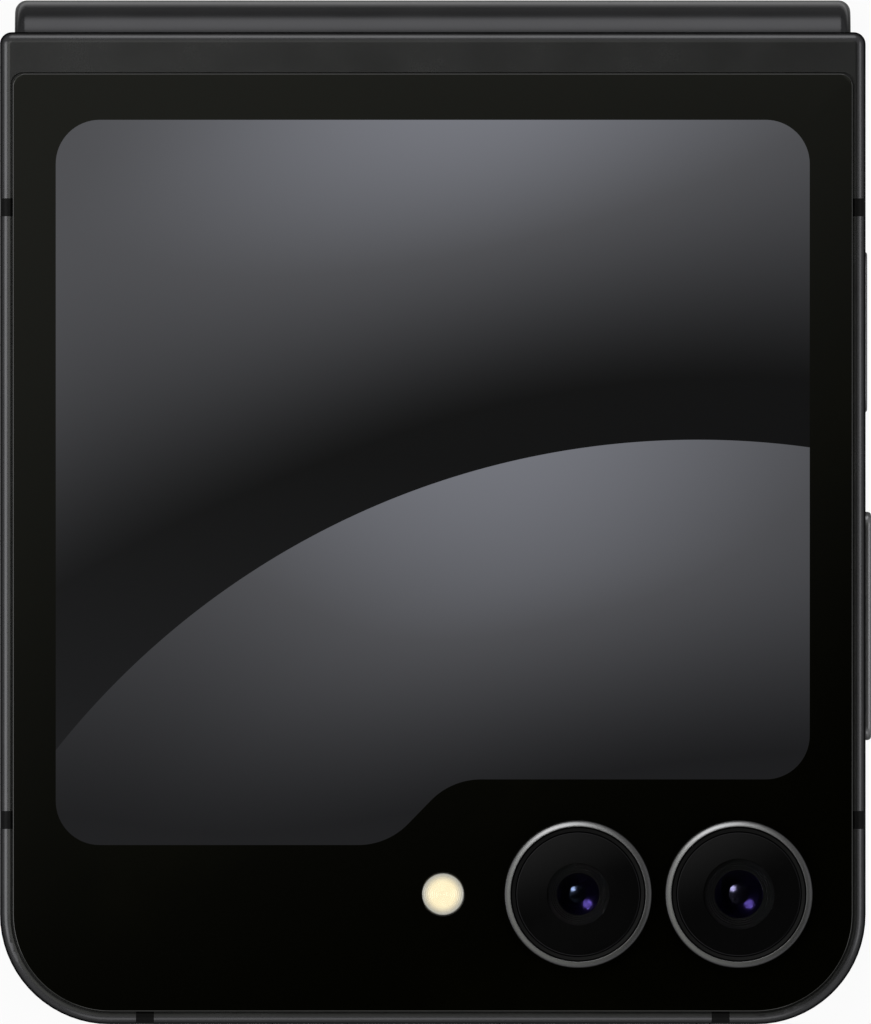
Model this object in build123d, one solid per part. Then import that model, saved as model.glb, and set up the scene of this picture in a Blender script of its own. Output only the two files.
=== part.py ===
from build123d import *
import math
import os

# A phone that folds in two about a hinge along one short side, drawn shut and lying on its back glass.
# Millimetres. X runs across the phone, Y towards the hinge and Z up, out of the cover glass.

# The body
body_width = 71.9
phone_length = 85.1
half_thickness = 6.9  # outer glass face to display face
display_gap = 1.1  # between the two display faces when shut
free_corner = 9.15
hinge_corner = 1.0
rail_edge_round = 0.85
inner_edge_round = 0.3
glass_proud = 0.05

# The frame's walls
rail_width = 1.0
wall = 2.0
web_thickness = 0.6
cross_wall = 1.25
display_rail = 1.2
break_width = 1.5
break_depth = 1.6
break_hinge_from_axis = 12.75
break_free_from_end = 16.98
break_from_side = 12.05

# The hinge
axis_offset = 1.85  # from the plane between the halves to each fold axis
spine_radius = 4.5
spine_skin = 0.5
spine_inset = 1.22
spine_end_wall = 1.2
spine_end_round = 1.0
skin_start = 1.165  # edge of the spine's skin, past the axes
spine_clear = 0.1
spine_side_clear = 0.07
frame_overhang = 1.8  # frame end past the axes
fold_clear = 0.05

# The folding display
display_thickness = 0.4
plate_thickness = 0.3
display_edge = 2.05  # from the frame's side to the display's edge
drop_radius = 1.25  # face of the display where it turns
fold_tilt = 6.0
support_thickness = 0.25
support_clear = 0.04
support_end = 0.3  # support plate short of the axis
support_side_clear = 0.9
knuckle_radius = 0.22
knuckle_length = 4.0
knuckle_count = 7

# The bezel
bezel_height = 0.5
bezel_lip = 0.5
bezel_clear = 0.05
bezel_round = 0.2
bumper_radius = 0.45
bumper_proud = 0.04
bumper_sink = 0.4

# The glasses
glass_thickness = 0.65
glass_gap = 0.1
glass_strip = 1.63  # glass end short of the fold axes
glass_round = 0.2

# Hinge modules, measured from the module's inner end
module_from_wall = 0.33  # outer flange short of the spine's end wall
cheek = 1.2
middle_cheek = 1.4
arm_width = 3.0
slice_clear = 0.1
rib_width = 0.4
arm_inner = 1.4
arm_outer = 3.2
rib_inner = 2.0
rib_outer = 2.6
arm_low_angle = -80.0
arm_high_angle = 9.0
limb_top = -0.3
limb_thickness = 0.6
gear_arm_width = 1.6
gear_arm_gap = 0.5
disc_bay = 2.4
flange = 2.6
wing_length = 4.6
wing_from_wall = 0.15
housing_clear = 0.05
drop_clear = 0.25

# Sync gears
gear_module = 0.2
idler_teeth = 10
sector_teeth_full = 18
tooth_addendum = 0.16
tooth_dedendum = 0.18
tooth_root_width = 0.3
tooth_tip_width = 0.14
sector_bore = 1.15
idler_shaft = 0.4
shaft_clear = 0.03
disc_radius = 0.9
disc_thickness = 0.3
disc_gap = 0.05
disc_count = 6

# Screws
screw_shank = 0.5
screw_head = 1.0
screw_head_height = 0.45
thin_head = 0.16
thread_clear = 0.02

# Boards and cells
board_thickness = 0.7
board_clear = 0.4
cell_clear = 0.2
side_channel = 2.95  # between a cell and the frame's wall
cell_hinge_end = 12.6  # short of the axes
lower_cell_start = 26.5  # from the free end
upper_cell_start = 38.5
soft_round = 1.5
motor_width = 10.0
motor_length = 9.0
motor_depth = 3.4
motor_from_side = 6.5
motor_from_end = 9.0
magnet_length = 6.0
magnet_depth = 2.5
coil_inner = 9.0
coil_outer = 19.0
coil_thickness = 0.4
cable_width = 9.0
cable_thickness = 0.14
cable_loop = 2.45

# USB receptacle
usb_width = 8.94
usb_height = 3.26
usb_depth = 7.3
usb_recess = 0.5
usb_wall = 0.3
usb_tongue = 0.7
usb_clear = 0.04

# Speaker
speaker_from_side = 5.95
speaker_width = 18.0
speaker_length = 14.0
speaker_slots = 5
speaker_slot_pitch = 2.3
speaker_slot_length = 1.5
speaker_slot_height = 1.0
mic_hole = 0.5
mic_from_side = 26.45

# Cover display, its corners and the step beside the cameras
panel_from_side = 4.65
panel_from_axis = 5.45
panel_right_from_end = 20.37
panel_left_from_end = 14.94
panel_corner = 3.65
panel_left_run = 25.52  # straight stretch of the lowest edge, to the step
panel_step_radius = 5.0
panel_step_run = 9.4
panel_thickness = 1.0
panel_border = 0.25

# Cameras and flash, from the free end and across
camera_from_end = 10.82
camera_from_side = (23.88, 10.53)
ring_outer = 6.1
ring_neck = 5.7
ring_rise = 1.0
ring_bore = 5.15
ring_seat = 4.6
ring_depth = 0.9
ring_round = 0.3
camera_glass_thickness = 0.5
camera_glass_sink = 0.35
camera_base = 10.0
camera_base_depth = 2.2
barrel_back = 3.0
base_round = 0.6
barrel_radius = 4.5
fit_clear = 0.03
flash_from_side = 35.1
flash_radius = 1.75
flash_chip = 1.2
flash_post = 1.6
flash_chip_back = 2.2

# Front camera and earpiece
selfie_from_end = 5.2
selfie_hole = 1.7
selfie_barrel = 1.85
selfie_base = 6.0
selfie_depth = 2.6
earpiece_width = 9.0
earpiece_length = 3.0
earpiece_depth = 2.2
module_gap = 0.25
shield_depth = 3.0
shield_skin = 0.2
shield_from_cameras = 0.6

# Keys on the right side
key_clear = 0.1
key_from_face = 3.45  # key height, from the outer face
volume_centre_from_axis = 47.52
volume_length = 18.99
volume_height = 2.3
volume_proud = 0.5
side_centre_from_axis = 23.1
side_length = 13.38
side_height = 2.6
side_proud = 0.15
key_flange = 0.5
key_flange_margin = 0.55
key_play = 0.35
key_edge_round = 0.35
switch_gap = 0.3
switch_strip = 0.3
switch_from_side = 4.25
switch_dome = 1.3
rocker_nub = 0.35

# SIM tray
tray_from_end = 31.25
tray_door_length = 13.0
tray_door_height = 2.2
tray_length = 14.0
tray_width = 11.2
tray_thickness = 1.2
card_length = 12.3
card_width = 8.8
card_thickness = 0.67
reader_wall = 0.3
reader_clear = 0.15
eject_hole = 0.45
eject_from_edge = 1.6

# Worked out from the sizes above
side = body_width / 2
free_y = -phone_length / 2
axis_y = phone_length / 2 - spine_radius
mid_z = half_thickness + display_gap / 2
axis_z = mid_z - axis_offset
hollow_radius = spine_radius + spine_clear
frame_end_y = axis_y + frame_overhang
hollow_y = axis_y - hollow_radius
cavity_end_y = hollow_y - cross_wall
glass_end_y = axis_y - glass_strip
spine_side = side - spine_inset
hollow_side = spine_side + spine_side_clear
display_z = half_thickness - display_thickness
plate_z = display_z - plate_thickness
web_z = plate_z - web_thickness
bezel_z = half_thickness + bezel_height
board_z = web_z - board_thickness
display_side = side - display_edge

# The drop that the shut display hangs in, about a centre on the plane between the halves
fold_angle = math.radians(fold_tilt)
fold_middle = display_thickness / 2
fold_radius = drop_radius + fold_middle
fold_gap = display_gap / 2 + fold_middle
fold_run = (fold_radius - fold_gap * math.cos(fold_angle)) / math.sin(fold_angle)
fold_straight = fold_run * math.cos(fold_angle) - fold_gap * math.sin(fold_angle)
fold_turn = fold_radius * (math.pi / 2 + fold_angle)
fold_back = fold_straight + fold_turn - axis_offset
drop_y = fold_run - fold_back
drop_tip = drop_y + drop_radius + display_thickness
fold_start_y = axis_y - fold_back

# Where the slices of a hinge module lie
lower_arm_start = cheek + slice_clear
upper_arm_start = cheek + arm_width + 2 * slice_clear + middle_cheek + slice_clear
gear_bay_start = upper_arm_start + arm_width + slice_clear + cheek
lower_gear_start = gear_bay_start + slice_clear
upper_gear_start = lower_gear_start + gear_arm_width + gear_arm_gap
gear_bay_end = upper_gear_start + gear_arm_width + slice_clear
disc_bay_start = gear_bay_end + cheek
disc_bay_end = disc_bay_start + disc_bay
module_end = disc_bay_end + cheek
module_start = spine_side - spine_end_wall - module_from_wall - flange - module_end

# Sync gear train: each sector turns about a fold axis, and the two idlers mesh between them
idler_pitch = gear_module * idler_teeth / 2
sector_pitch = gear_module * sector_teeth_full / 2
mesh_reach = idler_pitch + sector_pitch
idler_y = math.sqrt(mesh_reach**2 - (axis_offset - idler_pitch) ** 2)
mesh_angle = math.degrees(math.asin((axis_offset - idler_pitch) / mesh_reach))
sector_step = 360 / sector_teeth_full
idler_step = 360 / idler_teeth

cell_end_y = axis_y - cell_hinge_end
cell_side = side - wall - side_channel
speaker_start = side - speaker_from_side - speaker_width
panel_side = side - panel_from_side
panel_step_left = -panel_side + panel_left_run
panel_step_right = panel_step_left + panel_step_run
camera_x = tuple(side - inset for inset in camera_from_side)
flash_x = side - flash_from_side
switch_side = side - switch_from_side
mic_hole_x = -side + mic_from_side
break_end_x = side - break_from_side
camera_y = free_y + camera_from_end
tray_y = free_y + tray_from_end
volume_y = axis_y - volume_centre_from_axis
side_key_y = axis_y - side_centre_from_axis
key_z = key_from_face
rocker_x = side - wall - key_play - key_flange
usb_z = board_z - usb_height / 2
break_y = (axis_y - break_hinge_from_axis, free_y + break_free_from_end)


# Shapes used again and again


def block(x_low, x_high, y_low, y_high, z_low, z_high):
    centre = Pos((x_low + x_high) / 2, (y_low + y_high) / 2, (z_low + z_high) / 2)
    return centre * Box(x_high - x_low, y_high - y_low, z_high - z_low)


def disc(x, y, radius, z_low, z_high):
    return Pos(x, y, (z_low + z_high) / 2) * Cylinder(radius, z_high - z_low)


def bar(y, z, radius, x_low, x_high):
    """Round bar along X."""
    return Pos((x_low + x_high) / 2, y, z) * Rot(0, 90, 0) * Cylinder(radius, x_high - x_low)


def along(x, radius, y_low, y_high):
    """Round bar along Y, at the height of the origin."""
    return Pos(x, (y_low + y_high) / 2, 0) * Rot(90, 0, 0) * Cylinder(radius, y_high - y_low)


def slab(face, z_low, z_high):
    return Pos(0, 0, z_low) * extrude(face, z_high - z_low)


def across(section, x_low, x_high):
    """Extrudes a section drawn in Y and Z along X."""
    return Pos(x_low, 0, 0) * extrude(Plane.YZ * section, x_high - x_low, dir=(1, 0, 0))


def outline(inset, end_y, end_corner=hinge_corner):
    """Plan of a half, inset from the frame's sides, up to a line near the hinge."""
    reach = side - inset
    low = free_y + inset
    face = make_face(Polyline((-reach, low), (reach, low), (reach, end_y), (-reach, end_y), close=True))
    face = fillet(face.vertices().sort_by(Axis.Y)[:2], free_corner - inset)
    return fillet(face.vertices().sort_by(Axis.Y)[-2:], end_corner)


def ring_sector(inner, outer, low_angle, high_angle):
    """Part of a ring about the origin, in degrees from +Y towards +Z."""
    rim = CenterArc((0, 0), outer, low_angle, high_angle - low_angle)
    bore = CenterArc((0, 0), inner, low_angle, high_angle - low_angle)
    return make_face(rim + Line(rim @ 0, bore @ 0) + bore + Line(rim @ 1, bore @ 1))


def stadium(radius):
    """Section round both fold axes, about the middle of the hinge."""
    return Rot(0, 0, 90) * SlotCenterToCenter(2 * axis_offset, 2 * radius)


def key_plate(length, height, x_low, x_high, y, z):
    """Plate with round ends, standing across X."""
    return Pos(0, y, z) * across(SlotOverall(length, height), x_low, x_high)


def at_hinge(shape):
    """Moves a shape drawn about the middle of the hinge to its place."""
    return Pos(0, axis_y, mid_z) * shape


def at_lower_axis(shape):
    return Pos(0, axis_y, axis_z) * shape


def other_half(shape):
    """Mirrors a shape in the plane between the halves."""
    return Pos(0, 0, 2 * mid_z) * mirror(shape, about=Plane.XY)


def other_side(shape):
    return mirror(shape, about=Plane.YZ)


def both_sides(shape):
    return shape + other_side(shape)


def group(shapes):
    return Compound(children=[solid for shape in shapes for solid in shape.solids()])


# The frame of a half, drawn as the lower one


def frame_blank():
    """Rounded block of the frame, with the corner that swings past the other half cut round."""
    blank = slab(outline(0, frame_end_y), glass_proud, half_thickness)
    low_edges = blank.faces().sort_by(Axis.Z)[0].edges()
    blank = fillet(low_edges, rail_edge_round)
    high_edges = blank.faces().sort_by(Axis.Z)[-1].edges()
    blank = fillet(high_edges, inner_edge_round)
    swing = Pos(half_thickness / 2, half_thickness / 2) * Rectangle(half_thickness, half_thickness)
    corner = swing - Circle(frame_overhang)
    return blank - at_lower_axis(across(corner, -side - 1, side + 1))


def hinge_hollow():
    """Room that the spine turns in, with a flat floor past the axis for the flat of its back."""
    room = bar(axis_y, axis_z, hollow_radius, -hollow_side, hollow_side)
    room += block(-hollow_side, hollow_side, axis_y, frame_end_y + 1, axis_z - hollow_radius, axis_z)
    above = block(-hollow_side, hollow_side, hollow_y, frame_end_y + 1, axis_z, half_thickness + 1)
    return room + above


def support_relief():
    """Room under a support plate when it tilts into its half."""
    depth = (hollow_y - fold_start_y + 1) * math.tan(fold_angle)
    low = display_z - support_thickness - support_clear - 0.05
    section = Polyline(
        (fold_start_y - 0.1, plate_z + 0.1),
        (fold_start_y - 0.1, low),
        (hollow_y + 1, low - depth),
        (hollow_y + 1, plate_z + 0.1),
        close=True,
    )
    return across(make_face(section), -hollow_side, hollow_side)


def wing_windows():
    """Slots in the cross wall for the hinge arms, and one for the cable."""
    low = axis_z + limb_top - limb_thickness - slice_clear
    reach = module_start + module_end
    arms = block(module_start, reach, cavity_end_y - 1, hollow_y + 1, low, web_z)
    half_cable = cable_width / 2 + 1
    cable = block(-half_cable, half_cable, cavity_end_y - 1, hollow_y + 1, low, web_z)
    return both_sides(arms) + cable


def screw_places():
    """Wing screws, across and along."""
    y = cavity_end_y - wing_from_wall - wing_length / 2
    starts = (cheek + arm_width / 2, upper_arm_start + arm_width / 2, upper_gear_start)
    return [(sign * (module_start + start), y) for sign in (-1, 1) for start in starts]


def knuckle_places():
    """Middle of each knuckle of a support plate."""
    reach = display_side - support_side_clear - knuckle_length
    step = 2 * reach / (knuckle_count - 1)
    return [-reach + i * step for i in range(knuckle_count)]


def knuckle_axis():
    """Height and place along the phone of a support plate's tilting axis."""
    return fold_start_y + knuckle_radius, plate_z


def half_frame():
    """What both frames share."""
    body = frame_blank()
    body -= slab(outline(rail_width - glass_gap, glass_end_y + glass_gap), -1, glass_thickness)
    body -= slab(outline(wall, cavity_end_y), glass_thickness, web_z)
    body -= slab(outline(display_rail, frame_end_y + 2), plate_z, half_thickness + 1)
    body -= hinge_hollow()
    body -= support_relief()
    body -= wing_windows()
    y, z = knuckle_axis()
    for x in knuckle_places():
        room = knuckle_length / 2 + 0.2
        body -= bar(y, z, knuckle_radius + 0.05, x - room, x + room)
    for x, y in screw_places():
        body -= disc(x, y, screw_shank + thread_clear, web_z - 1, plate_z - 0.1)
    return body


def break_slots():
    """Where the frame is parted by polymer for its antennas."""
    half_width = break_width / 2
    high = half_thickness + 1
    low_x, high_x = break_end_x - half_width, break_end_x + half_width
    slots = [block(side - break_depth, side + 1, y - half_width, y + half_width, -1, high) for y in break_y]
    slots.append(block(low_x, high_x, free_y - 1, free_y + break_depth, -1, high))
    return slots + [other_side(slot) for slot in slots]


def part_frame(body):
    """Splits a frame into metal and the polymer breaks."""
    slots = break_slots()
    breaks = [body & slot for slot in slots]
    for slot in slots:
        body -= slot
    return body, group(breaks)


# Display, bezel and bumpers of a half


def display_plate(hole=None):
    plate = slab(outline(display_rail + bezel_clear, fold_start_y), plate_z, display_z)
    return plate - hole if hole else plate


def flat_display(hole=None):
    panel = slab(outline(display_edge, fold_start_y, 0.05), display_z, half_thickness)
    return panel - hole if hole else panel


def bezel():
    """Raised rim, open at the hinge."""
    rim = slab(outline(display_rail + bezel_clear, axis_y), display_z, bezel_z)
    rim = fillet(rim.faces().sort_by(Axis.Z)[-1].outer_wire().edges(), bezel_round)
    rim -= slab(outline(display_edge - bezel_clear, axis_y + 2), display_z - 1, half_thickness)
    rim -= slab(outline(display_edge + bezel_lip, axis_y + 2), half_thickness, bezel_z + 1)
    for x, y in bumper_places():
        rim -= disc(x, y, bumper_radius + thread_clear, bezel_z - bumper_sink, bezel_z + 1)
    return rim


def bumper_places():
    middle = (display_rail + bezel_clear + display_edge + bezel_lip) / 2
    x = side - middle
    along = [(sign * x, y) for sign in (-1, 1) for y in (cell_end_y - 2, free_y + lower_cell_start / 2)]
    return along + [(sign * side / 2, free_y + middle) for sign in (-1, 1)]


def bumpers():
    low, high = bezel_z - bumper_sink, bezel_z + bumper_proud
    return group([disc(x, y, bumper_radius, low, high) for x, y in bumper_places()])


def magnets():
    """Long magnets between the cell and the frame."""
    y = free_y + lower_cell_start + 1
    magnet = block(cell_side + 0.3, side - wall - 0.2, y, y + magnet_length, web_z - magnet_depth, web_z)
    return group([magnet, other_side(magnet)])


def pane(end_y, radius=glass_round):
    glass = slab(outline(rail_width, end_y), 0, glass_thickness)
    return fillet(glass.faces().sort_by(Axis.Z)[0].outer_wire().edges(), radius)


# Inside the lower half


def back_glass():
    return pane(glass_end_y)


def wireless_coil():
    y = (free_y + lower_cell_start + cell_end_y) / 2
    ring = disc(0, y, coil_outer, glass_thickness, glass_thickness + coil_thickness)
    return ring - disc(0, y, coil_inner, 0, glass_thickness + 1)


def cell(start_from_end, low):
    """Battery pouch, with the cable's layer left free above it."""
    pouch = block(-cell_side, cell_side, free_y + start_from_end, cell_end_y, low, web_z - cell_clear)
    return fillet(pouch.edges().filter_by(Axis.Z), soft_round)


def lower_battery():
    return cell(lower_cell_start, glass_thickness + coil_thickness + cell_clear)


def charge_board():
    board = slab(outline(wall + board_clear, free_y + lower_cell_start - 1), board_z, web_z)
    board -= block(speaker_start - cell_clear, side, free_y, cell_end_y, 0, half_thickness)
    return board - disc(mic_hole_x, free_y + 2 * wall, mic_hole, 0, half_thickness)


def usb_opening(clear, low_y, high_y):
    """Round-ended slot of the receptacle, between two distances from the free end."""
    shape = SlotOverall(usb_width + 2 * clear, usb_height + 2 * clear)
    start = Plane((0, free_y + high_y, usb_z), x_dir=(1, 0, 0), z_dir=(0, -1, 0))
    return extrude(start * shape, high_y - low_y)


def usb_receptacle():
    shell = usb_opening(0, usb_recess, usb_recess + usb_depth)
    shell -= usb_opening(-usb_wall, usb_recess - 1, usb_recess + usb_depth - 1)
    tongue = block(
        -usb_width / 2 + 1.1,
        usb_width / 2 - 1.1,
        free_y + usb_recess + 0.6,
        free_y + usb_recess + usb_depth - 0.5,
        usb_z - usb_tongue / 2,
        usb_z + usb_tongue / 2,
    )
    return shell + tongue


def loudspeaker():
    box = block(
        speaker_start,
        speaker_start + speaker_width,
        free_y + wall + 0.4,
        free_y + wall + 0.4 + speaker_length,
        glass_thickness + 0.6,
        web_z,
    )
    return box & slab(outline(wall + board_clear, cell_end_y), 0, half_thickness)


def vibration_motor():
    x, y = -cell_side + motor_from_side, free_y + motor_from_end
    low_x, high_x = x - motor_width / 2, x + motor_width / 2
    can = block(low_x, high_x, y, y + motor_length, board_z - motor_depth, board_z)
    return fillet(can.edges().filter_by(Axis.Z), soft_round)


def speaker_openings():
    """Row of slots and the microphone hole through the free end of the lower frame."""
    first = speaker_start + 0.6
    shape = SlotOverall(speaker_slot_length, speaker_slot_height)
    end = Plane((first, free_y + wall + 1, usb_z), x_dir=(1, 0, 0), z_dir=(0, -1, 0))
    slots = [Pos(i * speaker_slot_pitch, 0, 0) * extrude(end * shape, wall + 2) for i in range(speaker_slots)]
    hole = Pos(mic_hole_x, free_y, usb_z) * Rot(90, 0, 0) * Cylinder(mic_hole, 3 * wall)
    return slots + [hole]


def lower_frame():
    body = half_frame() - usb_opening(usb_clear, -1, wall + 1)
    for opening in speaker_openings():
        body -= opening
    return body


# The hinge, drawn about the middle between the fold axes


def spine_cover():
    """Curved skin and end walls, with room for the drop between them."""
    open_side = block(-side, side, -2 * spine_radius, fold_clear, -20, 20)
    body = across(stadium(spine_radius), -spine_side, spine_side) - open_side
    ends = body.faces().filter_by(Axis.X)
    rims = [edge for face in ends for edge in face.edges() if edge.center().Y > fold_clear + 0.1]
    body = fillet(rims, spine_end_round)
    inner = spine_side - spine_end_wall
    body -= across(stadium(spine_radius - spine_skin), -inner, inner)
    body -= block(-inner, inner, -1, skin_start, -20, 20)
    reach = drop_radius + display_thickness + drop_clear
    return body - block(-side, side, -1, drop_tip + drop_clear, -reach, reach)


def housing_blank(start, end):
    """Stretch of a hinge housing between two slices, up to the skin."""
    section = stadium(spine_radius - spine_skin - housing_clear)
    inner_reach = axis_offset + 0.2
    low = fold_clear
    section -= Pos(-spine_radius + low, 0) * Rectangle(2 * spine_radius, 4 * spine_radius)
    drop = drop_tip + drop_clear
    section -= Pos(drop / 2, 0) * Rectangle(drop, 2 * inner_reach)
    return across(section, module_start + start, module_start + end)


def swing_room(start, end, reach, sign):
    """Room for an arm's sector and limb, in the slices of one half."""
    centre = sign * axis_offset
    x_low = module_start + start
    x_high = module_start + end
    edge = -limb_top + limb_thickness + slice_clear
    room = bar(0, centre, reach, x_low, x_high)
    far = 3 * spine_radius
    z_low, z_high = (-far, centre) if sign < 0 else (centre, far)
    return room + block(x_low, x_high, -1, edge, z_low, z_high)


def rib_groove(start, end, sign):
    centre = sign * axis_offset
    x_low = module_start + start
    x_high = module_start + end
    groove = bar(0, centre, rib_outer + fold_clear, x_low, x_high)
    return groove - bar(0, centre, rib_inner - fold_clear, x_low, x_high)


def hinge_housing():
    """Block that guides both arms and carries the sync gears."""
    body = housing_blank(-flange, module_end + flange)
    depth = rib_width + slice_clear
    for start, sign in ((lower_arm_start, -1), (upper_arm_start, 1)):
        end = start + arm_width
        body -= swing_room(start - slice_clear, end + slice_clear, arm_outer + fold_clear, sign)
        body -= rib_groove(start - slice_clear - depth, start - slice_clear, sign)
        body -= rib_groove(end + slice_clear, end + slice_clear + depth, sign)
    for start, sign in ((gear_bay_start, -1), (upper_gear_start - gear_arm_gap, 1)):
        end = gear_bay_end if sign > 0 else upper_gear_start - gear_arm_gap / 2
        reach = sector_pitch + tooth_addendum + slice_clear
        body -= swing_room(start, end, reach, sign)
    tip = idler_pitch + tooth_addendum + slice_clear
    for sign in (-1, 1):
        z = sign * idler_pitch
        body -= bar(idler_y, z, tip, module_start + gear_bay_start, module_start + gear_bay_end)
        shaft = idler_shaft + shaft_clear
        body -= bar(idler_y, z, shaft, module_start + gear_bay_start - 0.8, module_start + module_end + 0.2)
    low, high = module_start + disc_bay_start, module_start + disc_bay_end
    back = idler_y + disc_radius + slice_clear
    reach = idler_pitch + disc_radius + slice_clear
    body -= block(low, high, 0, back, -reach, reach)
    for x in housing_screw_places():
        body -= along(x, screw_shank + thread_clear, -1, spine_radius)
    return body


def housing_screw_places():
    return (module_start - flange / 2, module_start + module_end + flange / 2)


def housing_screws():
    """Screws that hold both housings to the spine, with their heads towards the display."""
    low = drop_tip + drop_clear
    high = spine_radius - spine_skin - housing_clear
    screws = []
    for x in housing_screw_places():
        screw = along(x, screw_shank, low, high) + along(x, screw_head, low - thin_head, low)
        screws += [screw, other_side(screw)]
    return group(screws)


def gear_tooth(root, angle):
    """Tooth standing on a circle, at an angle from +Y towards +Z."""
    height = tooth_addendum + tooth_dedendum
    shape = Polyline(
        (root - 0.1, -tooth_root_width / 2),
        (root, -tooth_root_width / 2),
        (root + height, -tooth_tip_width / 2),
        (root + height, tooth_tip_width / 2),
        (root, tooth_root_width / 2),
        (root - 0.1, tooth_root_width / 2),
        close=True,
    )
    return Rot(0, 0, angle) * make_face(shape)


def sector_section(first_tooth):
    """Sector gear about a fold axis, whose last tooth towards the other half is given."""
    root = sector_pitch - tooth_dedendum
    low = first_tooth - 5.5 * sector_step
    section = ring_sector(sector_bore, root, low, first_tooth + 2)
    for i in range(6):
        section += gear_tooth(root, first_tooth - i * sector_step)
    return section


def idler_section(first_tooth):
    root = idler_pitch - tooth_dedendum
    section = Circle(root)
    for i in range(idler_teeth):
        section += gear_tooth(root, first_tooth + i * idler_step)
    return section


def sync_gear(sign):
    """Idler with its shaft. The lower one has gaps facing both its mates, the upper one has teeth."""
    z = sign * idler_pitch
    to_mate = 180 + mesh_angle if sign < 0 else 180 - mesh_angle
    first = to_mate + idler_step / 2 if sign < 0 else to_mate
    start = module_start + lower_gear_start
    end = module_start + gear_bay_end - slice_clear
    wheel = Pos(0, idler_y, z) * across(idler_section(first), start, end)
    shaft_start = module_start + gear_bay_start - 0.7
    return wheel + bar(idler_y, z, idler_shaft, shaft_start, module_start + module_end)


def friction_discs():
    """Sprung discs side by side on the shafts of the sync gears."""
    discs = []
    bore = idler_shaft + shaft_clear
    for sign in (-1, 1):
        for i in range(disc_count):
            start = module_start + disc_bay_start + disc_gap + i * (disc_thickness + disc_gap)
            end = start + disc_thickness
            z = sign * idler_pitch
            ring = bar(idler_y, z, disc_radius, start, end) - bar(idler_y, z, bore, start - 1, end + 1)
            discs += [ring, other_side(ring)]
    return group(discs)


# Hinge wings, drawn for the lower half about its fold axis


def limb(start, width, reach):
    """Flat strip from the wing to its sector."""
    back = hollow_y - cross_wall - wing_from_wall - 1 - axis_y
    low = limb_top - limb_thickness
    return block(module_start + start, module_start + start + width, back, reach, low, limb_top)


def wing(arm_start, gear_start, first_tooth):
    """Bracket screwed into a half, with a guided arm and a sector gear."""
    plate_end = cavity_end_y - wing_from_wall - axis_y
    top = web_z - axis_z
    low = limb_top - limb_thickness
    plate = block(
        module_start + cheek / 2,
        module_start + gear_bay_end + slice_clear,
        plate_end - wing_length,
        plate_end,
        low,
        top,
    )
    arm_low = module_start + arm_start
    arm_high = arm_low + arm_width
    arm = across(ring_sector(arm_inner, arm_outer, arm_low_angle, arm_high_angle), arm_low, arm_high)
    rib = ring_sector(rib_inner, rib_outer, arm_low_angle, arm_high_angle)
    ribs = across(rib, arm_low - rib_width, arm_high + rib_width)
    gear_low = module_start + gear_start
    gear = across(sector_section(first_tooth), gear_low, gear_low + gear_arm_width)
    body = plate + limb(arm_start, arm_width, arm_inner + 0.3) + arm + ribs
    body += limb(gear_start, gear_arm_width, sector_bore + 0.1) + gear
    for x, y in screw_places():
        body -= disc(x, y - axis_y, screw_shank + 3 * thread_clear, low - 1, top + 1)
    return at_lower_axis(body)


def lower_wing():
    return wing(lower_arm_start, lower_gear_start, mesh_angle)


def upper_wing():
    """Half a tooth out of step with the lower one, so that the train of four meshes."""
    return other_half(wing(upper_arm_start, upper_gear_start, mesh_angle - sector_step / 2))


def wing_screws():
    low = axis_z + limb_top - limb_thickness
    screws = []
    for x, y in screw_places():
        head = disc(x, y, screw_head, low - screw_head_height, low)
        screws.append(head + disc(x, y, screw_shank, low, plate_z - 0.1))
    return group(screws)


# What bends, in its shut shape


def tangent_point(depth):
    """Where the drop begins, at a depth behind the display's face, below the middle."""
    radius = drop_radius + depth
    return (drop_y - radius * math.sin(fold_angle), -radius * math.cos(fold_angle))


def drop_start(depth):
    """Where the bending stretch begins on the lower half, at a depth behind the display's face."""
    return (-fold_back, -display_gap / 2 - depth / math.cos(fold_angle))


def drop_path(depth):
    """Edges from the lower pivot line round the drop to the upper one."""
    y, z = tangent_point(depth)
    start_y, start_z = drop_start(depth)
    turn = CenterArc((drop_y, 0), drop_radius + depth, -90 - fold_tilt, 180 + 2 * fold_tilt)
    return Line((start_y, start_z), (y, z)) + turn + Line((y, -z), (start_y, -start_z))


def display_fold():
    low, high = drop_start(0)[1], drop_start(display_thickness)[1]
    ends = Line((-fold_back, low), (-fold_back, high)) + Line((-fold_back, -low), (-fold_back, -high))
    section = make_face(drop_path(0) + drop_path(display_thickness) + ends)
    return at_hinge(across(section, -display_side, display_side))


def support_plate():
    """Floating plate under the bending display of the lower half, tilted as when shut."""
    y, z = knuckle_axis()
    top = display_z - support_clear
    reach = display_side - support_side_clear
    plate = block(-reach, reach, fold_start_y + 0.05, axis_y - support_end, top - support_thickness, top)
    for x in knuckle_places():
        plate += bar(y, z, knuckle_radius, x - knuckle_length / 2, x + knuckle_length / 2)
    return Pos(0, y, z) * Rot(-fold_tilt, 0, 0) * Pos(0, -y, -z) * plate


def hinge_flex_cable():
    """Ribbon from one half's board to the other's, in a loop behind the drop."""
    run_z = mid_z - (web_z - cell_clear / 2)
    back = free_y + lower_cell_start - 0.9 - axis_y
    upper_back = free_y + upper_cell_start - 0.9 - axis_y
    rise = (cavity_end_y - axis_y - 0.2, hollow_y - axis_y + 0.2)
    path = Line((back, -run_z), (rise[0], -run_z)) + Line((rise[0], -run_z), (0, -cable_loop))
    path += CenterArc((0, 0), cable_loop, -90, 180)
    path += Line((0, cable_loop), (rise[0], run_z)) + Line((rise[0], run_z), (upper_back, run_z))
    section = trace(path, cable_thickness)
    return at_hinge(across(section, -cable_width / 2, cable_width / 2))


# The upper half, drawn as if it were the lower one and then turned over


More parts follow.
